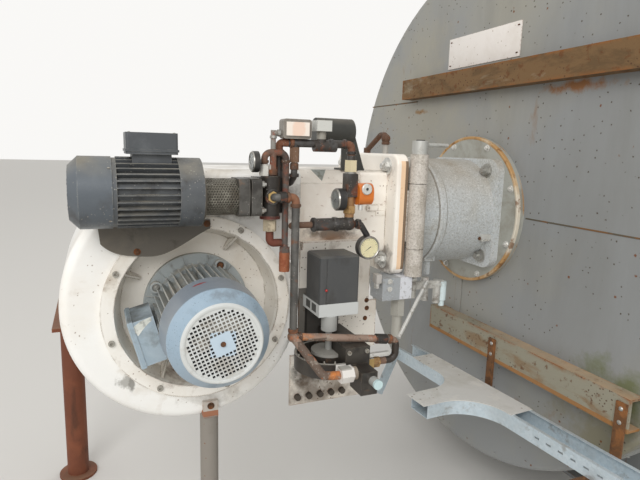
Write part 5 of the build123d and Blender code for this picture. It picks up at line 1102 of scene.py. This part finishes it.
cross_rust = finish("cross_rust", 0x8E786A, [
    patches(0x705646, 0.8, 22.0, 0.50, 0.1),
    zone(0x584A40, 0.85, x=(-1.410, -1.318), y=(-FAR, -0.356), z=(0, axis_z - 0.314)),
    patches(0xAE6846, 0.7, 34.0, 0.56, 0.06),
    patches(0xA0968A, 0.6, 60.0, 0.57, 0.05),
    patches(0x544A42, 0.7, 30.0, 0.56, 0.08),
    stain(0xC47A40, 0.8, (-1.395, -0.350, axis_z - 0.308), (0.035, 0.02, 0.014), 0.8, 60.0),
    stain(0xC87A3C, 0.85, (-1.325, -0.425, axis_z - 0.398), (0.028, 0.03, 0.02), 0.6, 60.0),
    zone(0x36322E, 0.95, x=(-1.160, -1.122), z=(axis_z - 0.360, FAR), rough=0.4),
    zone(0x322D29, 0.95, x=(-1.126, FAR), z=(0, axis_z - 0.350), rough=0.45),
    *pipe_wear,
], rough=0.75, grain=240.0, relief=1.0, depth=0.001)
black_coats = [
    patches(0x545454, 0.7, 18.0, 0.50, 0.15, rough=0.5),
    patches(0x6E422E, 0.75, 26.0, 0.56, 0.08, rough=0.85),
]
upper_black = finish("upper_black", 0x38332F, [
    *black_coats,
    zone(0x84563E, 0.85, x=(-1.462, -1.424), z=(axis_z + 0.196, axis_z + 0.246), rough=0.85),
    zone(0x745844, 0.85, (-1.424, -1.390), (-FAR, -0.288), (axis_z + 0.176, axis_z + 0.2185), rough=0.8),
    zone(0x969288, 0.9, x=(-1.346, -1.312), z=(axis_z + 0.2425, axis_z + 0.264)),
    zone(0xC8C8C2, 0.95, x=(-1.356, -1.302), z=(axis_z + 0.264, FAR), rough=0.5),
    zone(0x7A503A, 0.7, x=(-1.262, FAR), z=(axis_z + 0.200, FAR), rough=0.85),
    *pipe_wear,
], rough=0.45, grain=240.0, relief=0.7)
stack_black = finish("stack_black", 0x34302C, [
    *black_coats,
    zone(0xD6C8A4, 0.9, x=(-1.262, -1.208), z=(axis_z + 0.154, axis_z + 0.189), rough=0.4),
    zone(0x96704A, 0.9, x=(-1.262, -1.208), z=(axis_z + 0.024, axis_z + 0.083), rough=0.5),
    zone(0x705442, 0.8, x=(-FAR, -1.352), rough=0.8),
    *pipe_wear,
], rough=0.4, grain=240.0, relief=0.7)
riser_grey = finish("riser_grey", 0x5C5A56, [
    patches(0x3E3C3A, 0.8, 16.0, 0.50, 0.15, rough=0.5),
    patches(0x764E36, 0.75, 20.0, 0.57, 0.08, rough=0.85),
    zone(0xC0A064, 0.9, x=(-1.500, -1.4590), y=(-0.3395, -0.330), z=(1.18, 1.24), rough=0.4),
    zone(0x383430, 0.85, x=(-1.459, -1.434), z=(1.18, 1.24), rough=0.4),
    zone(0x865A40, 0.85, x=(-1.434, FAR), z=(1.178, 1.24), rough=0.85),
    *pipe_wear,
], rough=0.5, grain=240.0, relief=0.7)
tapping_rust = finish("tapping_rust", 0x5C4232, [
    patches(0x885436, 0.8, 26.0, 0.50, 0.1),
    patches(0x3E3630, 0.8, 20.0, 0.54, 0.1),
    zone(0xACA9A2, 0.9, x=(-1.03, -0.99), y=(-0.118, -0.090), z=(axis_z + 0.15, axis_z + 0.236)),
    *pipe_wear,
], rough=0.75, grain=240.0, relief=0.9)
dress(loop_rust, "loop_pipe")
dress(cross_rust, "lower_pipes")
dress(upper_black, "upper_pipe")
dress(stack_black, "nozzle_manifold")
dress(riser_grey, "delivery_pipe")
dress(tapping_rust, "tapping_pipe")
fitting_black = finish("fitting_black", 0x2E2A27, [
    *black_coats,
    *pipe_wear,
], rough=0.4, grain=240.0, relief=0.7)
brass_brown = finish("brass_brown", 0xA88658, [
    patches(0x705238, 0.7, 60.0, 0.48, 0.12, rough=0.7),
    *pipe_wear,
], rough=0.4, metal=0.3)


def collars(name, spots, material):
    """Nuts, sockets and beads on the pipes: a point, the pipe's way, radius, length and sides of each."""
    shape = bmesh.new()
    for point, way, radius, length, sides in spots:
        half, worn = length / 2, 0.1 * radius
        profile = [(0, -half), (radius - worn, -half), (radius, worn - half)]
        profile += [(r, -h) for r, h in reversed(profile)]
        ring_mesh = lathe(name, profile, facing_place(point, way), sides)
        shape.from_mesh(ring_mesh)
        bpy.data.meshes.remove(ring_mesh)
    return show(name, kept_mesh(name, shape), material, smooth=35)


X_WAY, Y_WAY, Z_WAY = (1, 0, 0), (0, -1, 0), (0, 0, 1)
SOCKET, BEAD_L = 0.0145, 0.009
PIPES_Y, RISER_Y = -0.305, -0.345
CROSS_WAY = (0.3235, -0.020, -0.038)
rusty_spots = [
    ((-1.416, PIPES_Y, 1.350), X_WAY, SOCKET, BEAD_L, 24),
    ((-1.443, -0.279, 1.327), Z_WAY, SOCKET, BEAD_L, 24),
    ((-1.407, PIPES_Y, 1.287), Z_WAY, 0.0118, 0.018, 24),
    ((-1.437, RISER_Y, 1.206), X_WAY, SOCKET, BEAD_L, 24),
    ((-1.415, RISER_Y, 1.184), Z_WAY, SOCKET, BEAD_L, 24),
    ((-1.415, RISER_Y, axis_z - 0.288), Z_WAY, SOCKET, 0.011, 24),
    ((-1.396, -0.3462, axis_z - 0.3082), CROSS_WAY, SOCKET, 0.011, 24),
    ((-1.112, -0.3637, axis_z - 0.3416), CROSS_WAY, SOCKET, 0.010, 24),
    ((-1.492, PIPES_Y, axis_z + 0.179), Z_WAY, 0.0120, 0.008, 24),
    ((-1.431, PIPES_Y, axis_z + 0.180), Z_WAY, 0.0120, 0.008, 24),
    ((-1.468, PIPES_Y, axis_z + 0.150), Z_WAY, 0.0120, 0.016, 24),
    ((-1.0115, -0.105, axis_z + 0.241), Z_WAY, 0.0135, 0.010, 24),
]
collars("rusty_sockets", rusty_spots, tapping_rust)
black_spots = [
    ((-1.475, -0.3315, 1.206), Y_WAY, 0.0215, 0.006, 28),
    ((-1.452, RISER_Y, 1.206), X_WAY, 0.0155, 0.018, 24),
    ((-1.2784, PIPES_Y, 1.124), X_WAY, 0.0225, 0.015, 6),
    ((-1.204, PIPES_Y, 1.122), X_WAY, 0.0165, 0.012, 6),
    ((-1.345, PIPES_Y, 1.124), X_WAY, 0.0205, 0.010, 24),
    ((-1.407, PIPES_Y, 1.263), Z_WAY, 0.0135, 0.010, 24),
    ((-1.141, -0.3619, axis_z - 0.3382), CROSS_WAY, 0.0150, 0.038, 24),
    ((-1.300, PIPES_Y, 1.350), X_WAY, SOCKET, 0.012, 24),
    ((-1.258, PIPES_Y, 1.350), X_WAY, SOCKET, BEAD_L, 24),
    ((-1.235, PIPES_Y, 1.327), Z_WAY, SOCKET, BEAD_L, 24),
]
collars("black_sockets", black_spots, fitting_black)
pale_spots = [
    ((-1.235, PIPES_Y, axis_z + 0.1515), Z_WAY, 0.0155, 0.007, 24),
    ((-1.468, PIPES_Y, axis_z + 0.244), Z_WAY, 0.0095, 0.008, 20),
    ((-1.453, PIPES_Y, axis_z + 0.255), X_WAY, 0.0095, 0.008, 20),
]
collars("zinc_sockets", pale_spots, zinc_bolt)
brass_spots = [
    ((-1.235, PIPES_Y, axis_z + 0.046), Z_WAY, 0.0190, 0.024, 6),
    ((-1.159, -0.365, axis_z - 0.406), X_WAY, 0.0175, 0.024, 6),
]
collars("brass_nuts", brass_spots, brass_brown)

# Gauges: black steel cases with bright bezels and glass fronts.
# Each has a pale dial with plain ticks and a black needle.
case_black = finish("case_black", 0x2C2B2A, [
    patches(0x4A4642, 0.7, 30.0, 0.5, 0.15),
    worn(0x827E78, 0.5, 0.002, 90.0),
], rough=0.4)
dress(case_black, "side_gauge", "small_gauge", "dial_gauge")
bezel_steel = finish("bezel_steel", 0xACAAA4, [
    patches(0x7A746A, 0.7, 50.0, 0.5, 0.15, rough=0.5),
], rough=0.28, metal=0.9)
dial_cream = finish("dial_cream", 0xFAEEC2, [
    patches(0xEEE2B8, 0.7, 30.0, 0.48, 0.2),
    patches(0xDED2AC, 0.5, 14.0, 0.56, 0.15),
], rough=0.5)
dial_grey = finish("dial_grey", 0x969898, [patches(0x6C6C6A, 0.7, 40.0, 0.48, 0.2)], rough=0.4)
needle_black = finish("needle_black", 0x1A1A1A, [patches(0x32302E, 0.5, 80.0)], rough=0.5)
glass = bpy.data.materials.new("gauge_glass")
glass.use_nodes = True
pane = glass.node_tree.nodes["Principled BSDF"]
pane.inputs["Base Color"].default_value = (0.95, 0.96, 0.95, 1)
pane.inputs["Roughness"].default_value = 0.06
pane.inputs["Transmission Weight"].default_value = 1.0
pane.inputs["IOR"].default_value = 1.12
tree = glass.node_tree
smear = noise(tree, object_place(tree), 60.0, 2)
tree.links.new(ramp(tree, smear, 0.2, 2.4), pane.inputs["Roughness"])


def gauge_front(name, point, normal, radius, dial, ticks):
    """Bezel, dial with its ticks, needle and glass of one gauge, sized by its radius."""
    place = facing_place(point, normal)

    def layout(*points):
        return [(across_share * radius, up_share * radius) for across_share, up_share in points]

    rim_profile = layout((0.84, 0), (0.86, 0.10), (0.93, 0.13), (1, 0.06), (1.02, -0.16), (0.99, -0.17))
    turned(name + "_bezel", rim_profile, place, bezel_steel, smooth=60)
    face_profile = [(0, 0.0012), (radius * 0.85, 0.0012), (radius * 0.85, 0)]
    turned(name + "_dial", face_profile, place, dial)
    marks = bmesh.new()

    def mark(height, *corners):
        marks.faces.new([marks.verts.new(corner + Vector((0, 0, height))) for corner in corners])

    for step in range(ticks + 1):
        angle = radians(-45 + 270 * step / ticks)
        inner, wide = (0.66, 0.018) if step % 5 == 0 else (0.71, 0.010)
        out = Vector((cos(angle), sin(angle), 0))
        side = Vector((-sin(angle), cos(angle), 0)) * (radius * wide)
        start, end = out * (radius * inner), out * radius * 0.77
        mark(0.0016, start - side, end - side, end + side, start + side)
    lean = radians(215)
    tip = Vector((cos(lean), sin(lean), 0))
    side = Vector((-sin(lean), cos(lean), 0)) * radius * 0.035
    tail = tip * radius * 0.18
    mark(0.0024, tip * radius * 0.68, side - tail, -side - tail)
    bmesh.ops.solidify(marks, geom=marks.faces[:], thickness=0.0003)
    mesh = kept_mesh(name + "_needle", marks)
    mesh.transform(place)
    show(name + "_needle", mesh, needle_black)
    glass_profile = layout((0, 0.10), (0.5, 0.095), (0.87, 0.07), (0.87, 0.05), (0, 0.07))
    turned(name + "_glass", glass_profile, place, glass, smooth=60)


low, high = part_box("dial_gauge")
dial_centre = Vector((high.x - 0.035, low.y, low.z + 0.035))
gauge_front("dial_gauge", dial_centre, (0, -1, 0), 0.034, dial_cream, 20)
for node, radius, ticks in (("side_gauge", 0.031, 20), ("small_gauge", 0.027, 15)):
    low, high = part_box(node)
    face_centre = (low.x, middle(low, high).y, middle(low, high).z)
    gauge_front(node, face_centre, (-1, 0, 0), radius, dial_grey, ticks)

# Valve coil: an orange moulding on the valve, held by a bright round nut.
# A short bright sleeve stands out below it.
low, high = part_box("solenoid_valve")
coil_orange = finish("coil_orange", 0xCE7026, [
    patches(0xB05820, 0.7, 18.0, 0.5, 0.2),
    patches(0x784A2C, 0.5, 30.0, 0.58, 0.1, rough=0.8),
    zone(0x969692, 0.95, x=(high.x - 0.0082, FAR), rough=0.4, metal=0.6),
    worn(0xE89654, 0.5, 0.002, 60.0),
], rough=0.38, grain=400.0, relief=0.2, shine=0.2)
dress(coil_orange, "solenoid_valve")
NUT_OUT, NUT_HOLE = 0.0160, 0.0045
on_coil = facing_place((-1.1975, low.y, axis_z + 0.1066), (0, -1, 0))
nut_profile = [(NUT_HOLE, 0), (NUT_HOLE, 0.006), (0.0140, 0.006), (NUT_OUT, 0.004), (NUT_OUT, 0)]
turned("coil_nut", nut_profile, on_coil, bright_bolt, 24)
eye_profile = [(0, 0.003), (NUT_HOLE, 0.003), (NUT_HOLE, 0)]
turned("coil_nut_eye", eye_profile, on_coil, case_black, 16)
outlet = [((-1.208, -0.322, axis_z + 0.053), Z_WAY, 0.0065, 0.016, 20)]
collars("coil_outlet", outlet, bright_bolt)

# Pressure switch: a cast frame in worn grey round a pale cover.
# The cover has a faint warm spot to the right of its middle.
low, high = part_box("pressure_switch")
lid_middle = (middle(low, high).x + 0.014, low.y, middle(low, high).z)
switch_cast = finish("switch_cast", 0x807A72, [
    patches(0x625A52, 0.7, 20.0, 0.50, 0.15),
    zone(0xEEE2D6, 0.95, y=(-FAR, low.y + 0.0034), rough=0.4),
    stain(0xE6C6B2, 0.8, lid_middle, (0.022, 0.003, 0.03), 0.25, 60.0),
    worn(0xBEBCB6, 0.5, 0.002, 70.0),
], rough=0.45, grain=400.0, relief=0.4)
dress(switch_cast, "pressure_switch")

# Valve actuator: a black can on a bent bracket that stands on the housing.
# Satin black, with dust on top, and rubbed along the edges.
actuator_black = finish("actuator_black", 0x363632, [
    patches(0x484641, 0.7, 9.0, 0.48, 0.2),
    patches(0x262422, 0.6, 14.0, 0.56, 0.12, rough=0.4),
    worn(0x746E64, 0.5, 0.003, 60.0),
    dust(0x787266, 0.6, 12.0, 0.5, rough=0.95),
], rough=0.45, grain=300.0, relief=0.4)
dress(actuator_black, "valve_actuator")

# Damper drive: a ribbed black hood over a grey base, on the equipment plate.
# The base has two openings on its left, painted as dark patches of shade, and the hood a red pilot lamp.
low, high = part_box("servo_motor")
SERVO_SPLIT = axis_z - 0.230
left_face, window_z = (-FAR, low.x + 0.001), (SERVO_SPLIT - 0.030, SERVO_SPLIT - 0.006)
servo_plastic = finish("servo_plastic", 0x464748, [
    patches(0x50504F, 0.7, 7.0, 0.46, 0.25),
    patches(0x3A3836, 0.6, 12.0, 0.56, 0.12),
    dust(0x767268, 0.85, 10.0, 0.4, rough=0.95),
    zone(0xC6C8C6, 0.95, z=(0, SERVO_SPLIT), rough=0.6),
    # Two openings on the left face, drawn as dark patches of painted shade.
    zone(0x24221E, 0.9, left_face, (-0.296, -0.262), window_z),
    zone(0x24221E, 0.9, left_face, (-0.250, -0.216), window_z),
    zone(0x9E9E9A, 0.95, z=(0, axis_z - 0.2690), rough=0.6),
    worn(0x807E78, 0.5, 0.002, 70.0),
], rough=0.5, grain=600.0, relief=0.5)
dress(servo_plastic, "servo_motor")
signal_red = finish("signal_red", 0xB02824, [patches(0x8C1E1E, 0.6, 90.0)], rough=0.3, shine=0.5)
on_hood = on_near_side((low.x + 0.020, low.y + 0.001, axis_z - 0.187))
pilot_profile = [(0, 0.003), (0.003, 0.0024), (0.004, 0)]
turned("servo_pilot", pilot_profile, on_hood, signal_red, 16, 60)

# Equipment plate: cream painted sheet with painted shade beside and below the drive, black with oil towards
# its foot.
# Three rusty screws stand along its right edge.
plate_low, plate_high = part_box("equipment_plate")
plate_face = plate_low.y + 0.014
plate_foot = (middle(plate_low, plate_high).x - 0.05, plate_face, plate_low.z + 0.04)
plate_paint_and_shade = finish("plate_paint_and_shade", 0xE4DED4, [
    patches(0xCCC0B0, 0.7, 6.0, 0.49, 0.2),
    # The two dark bands beside and below the drive are painted shade.
    zone(0x322E28, 0.85, x=(-1.342, -1.312), z=(axis_z - 0.42, axis_z - 0.212), rough=0.8),
    zone(0x221E1A, 0.95, x=(-1.320, -1.2035), z=(axis_z - 0.42, axis_z - 0.258), rough=0.8),
    patches(0x78624C, 0.7, 10.0, 0.56, 0.1, (1, 1, 0.5), rough=0.7),
    stain(0x342E26, 0.9, (-1.30, -0.19, axis_z - 0.46), (0.07, 0.1, 0.10), 0.5, 16.0, rough=0.5),
    stain(0x604E3C, 0.7, plate_foot, (0.14, 0.1, 0.07), 0.8, 20.0),
    flecks(0x5A422E, 0.9, 90.0, 0.7, 0.25, 8.0),
    worn(0x845432, 0.9, 0.005, 40.0, rough=0.85),
    zone(0x3A322A, 0.95, y=(-FAR, plate_low.y + 0.0135), z=(0, plate_low.z + 0.060), rough=0.8),
], rough=0.45, grain=200.0, relief=0.4)
dress(plate_paint_and_shade, "equipment_plate")
plate_screw = bolt_sizes(0.006, 1.2, 0.3)
for index, (x, drop) in enumerate(((-1.103, 0.270), (-1.101, 0.297), (-1.106, 0.331))):
    on_plate = on_near_side((x, plate_face, axis_z - drop))
    grow(f"plate_screw_{index + 1}", bolts, [(0, 0, 0)], plate_screw, on_plate, rusty_bolt)

# Oil regulator: a black casting with a bright tap, a brass tee and a white nut.
# Two socket screws sit in its block, a row of set screws round its cam, and a lever by the tee.
nut_y, nut_z = (-0.460, -0.400), (axis_z - 0.430, axis_z - 0.370)
regulator_cast = finish("regulator_cast", 0x34302C, [
    patches(0x4A4640, 0.7, 12.0, 0.48, 0.15, rough=0.6),
    patches(0x201C18, 0.7, 18.0, 0.54, 0.1, rough=0.25),
    patches(0x684830, 0.5, 30.0, 0.6, 0.08, rough=0.85),
    zone(0xDEDAD4, 0.95, (-1.308, -1.268), nut_y, nut_z, rough=0.4),
    zone(0x928678, 0.9, (-1.268, -1.2565), nut_y, nut_z, rough=0.4),
    zone(0xCECFCA, 1.0, y=(-FAR, -0.4655), rough=0.25, metal=0.5),
    zone(0xC4DCDE, 1.0, y=(-FAR, -0.489), rough=0.3, metal=0.2),
    zone(0xB69862, 0.9, x=(-1.1972, -1.171), z=(0, axis_z - 0.3885), rough=0.4, metal=0.4),
    zone(0xCECAC2, 0.95, x=(-1.1972, FAR), z=(axis_z - 0.3895, FAR), rough=0.4),
    zone(0xA09D96, 0.9, x=(-FAR, -1.2755), z=(axis_z - 0.3835, FAR), rough=0.6),
    worn(0x70685C, 0.6, 0.003, 60.0, rough=0.5),
], rough=0.42, grain=300.0, relief=0.8)
dress(regulator_cast, "oil_regulator")
block_screws = [(-1.264, axis_z - 0.353, 0), (-1.208, axis_z - 0.353, 0)]
on_block = on_near_side((0, -0.400, 0))
screw_sizes = {"Head": 0.0065, "Height": 0.005, "Socket": 0.0033}
grow("regulator_screws", screws, block_screws, screw_sizes, on_block, dark_screw)
CAM_SCREWS, CAM_RIM = 7, 0.098
cam_turns = [radians(150 + 18 * step) for step in range(CAM_SCREWS)]
cam_spots = [(CAM_RIM * cos(turn_at), CAM_RIM * sin(turn_at), 0) for turn_at in cam_turns]
lever = box_mesh("tee_lever", (-1.192, -0.389, axis_z - 0.381), (-1.126, -0.377, axis_z - 0.370), 0.002)
show("tee_lever", lever, bright_bolt)
on_cam = Matrix.Translation((-1.285, -0.300, axis_z - 0.383))
grow("cam_set_screws", bolts, cam_spots, bolt_sizes(0.004, 0.8, 1.2), on_cam, dark_screw)

# Ignition box and couplings: a rough grey die-cast half and a smooth pale one, screwed together.
# A plug sits on its left, and steel nuts, a pale sleeve and a light rod run on to its right.
low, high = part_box("ignition_box")
box_cast = finish("box_cast", 0xD4D6DB, [
    zone(0xA6AAAD, 0.95, x=(-FAR, low.x + 0.065), rough=0.45, metal=0.3),
    patches(0x969490, 0.6, 70.0, 0.54, 0.08),
    flecks(0xE8EAEC, 0.6, 200.0, 0.8, 0.3, 20.0),
    zone(0xACA99E, 0.9, z=(0, high.z - 0.0755), rough=0.45, metal=0.2),
    worn(0x787064, 0.6, 0.003, 60.0),
], rough=0.45, grain=160.0, relief=0.8, depth=0.001)
dress(box_cast, "ignition_box")
half_screws = [(-1.0508, axis_z - 0.1975, 0), (-1.0508, axis_z - 0.2222, 0)]
on_half = on_near_side((0, low.y, 0))
half_screw = {"Head": 0.0085, "Height": 0.004, "Socket": 0.004}
grow("ignition_box_screws", screws, half_screws, half_screw, on_half, bright_bolt)
plug_low, plug_high = (low.x - 0.020, -0.240, axis_z - 0.204), (low.x, -0.212, axis_z - 0.174)
plug_grey = finish("plug_grey", 0xBAB6B0, [patches(0x969088, 0.6, 30.0, 0.52)], rough=0.6)
show("box_plug", box_mesh("box_plug", plug_low, plug_high, 0.003), plug_grey)
gland = [((low.x - 0.010, -0.226, axis_z - 0.212), Z_WAY, 0.009, 0.018, 20)]
collars("box_plug_gland", gland, bright_bolt)
coupling_steel = finish("coupling_steel", 0xBCBAB4, [
    patches(0x70685E, 0.7, 34.0, 0.50, 0.12, rough=0.7),
    patches(0x7E543A, 0.5, 44.0, 0.60, 0.08, rough=0.85, metal=0.0),
], rough=0.4, metal=0.3, grain=300.0)
dress(coupling_steel, "cable_couplings")
sleeve_white = finish("sleeve_white", 0xCCDADC, [
    patches(0xA8B0AC, 0.6, 40.0, 0.50, 0.15),
], rough=0.35, shine=0.2)
sleeve_spots = [
    ((-0.818, -0.205, axis_z - 0.256), Z_WAY, 0.0150, 0.066, 28),
    ((-0.818, -0.205, axis_z - 0.298), Z_WAY, 0.0100, 0.022, 24),
]
collars("coupling_sleeve", sleeve_spots, sleeve_white)
nut_points = [(-0.940 + 0.050 * step, -0.205, axis_z - 0.206 - 0.013 * step) for step in range(3)]
nut_spots = [(point, Z_WAY, 0.0165, 0.012, 6) for point in nut_points]
collars("coupling_nuts", nut_spots, bright_bolt)
rod_top, rod_foot = Vector((-0.905, -0.239, axis_z - 0.209)), Vector((-1.072, -0.350, axis_z - 0.347))
rod_way = rod_foot - rod_top
rod_spots = [((rod_top + rod_foot) / 2, rod_way, 0.0062, rod_way.length, 16)]
collars("coupling_rod", rod_spots, bright_bolt)

# Posts: a grey round steel post under the scroll and a red-lead one behind it.
# Both stand on the floor, and a rusty bolt closes the front one's clamp.
post_grey = finish("post_grey", 0x868078, [
    patches(0x70685E, 0.7, 8.0, 0.48, 0.2),
    flecks(0x784A2C, 0.8, 80.0, 0.5, 0.25, 6.0),
    zone(0xC4BCB2, 0.8, y=(-FAR, -0.2035), z=(axis_z - 0.571, FAR)),
    zone(0x985E3E, 0.9, y=(-FAR, -0.2035), z=(axis_z - 0.573, axis_z - 0.556), rough=0.85),
    worn(0x925836, 0.9, 0.005, 50.0),
], rough=0.55)
dress(post_grey, "front_post")
on_clamp = on_near_side((-1.622, -0.219, axis_z - 0.540))
grow("clamp_bolt", bolts, [(0, 0, 0)], bolt_sizes(0.008, 1.2, 0.3), on_clamp, rusty_bolt)
red_lead = finish("red_lead", 0x6A3C28, [
    patches(0x824C32, 0.7, 7.0, 0.48, 0.2),
    patches(0x462E22, 0.7, 12.0, 0.54, 0.12, (1, 1, 0.3), rough=0.85),
    worn(0x8C5C3C, 0.7, 0.004, 50.0),
    dust(0x7E6854, 0.6, 10.0, 0.5, rough=0.95),
], rough=0.7, grain=120.0, relief=0.7)
dress(red_lead, "rear_post")
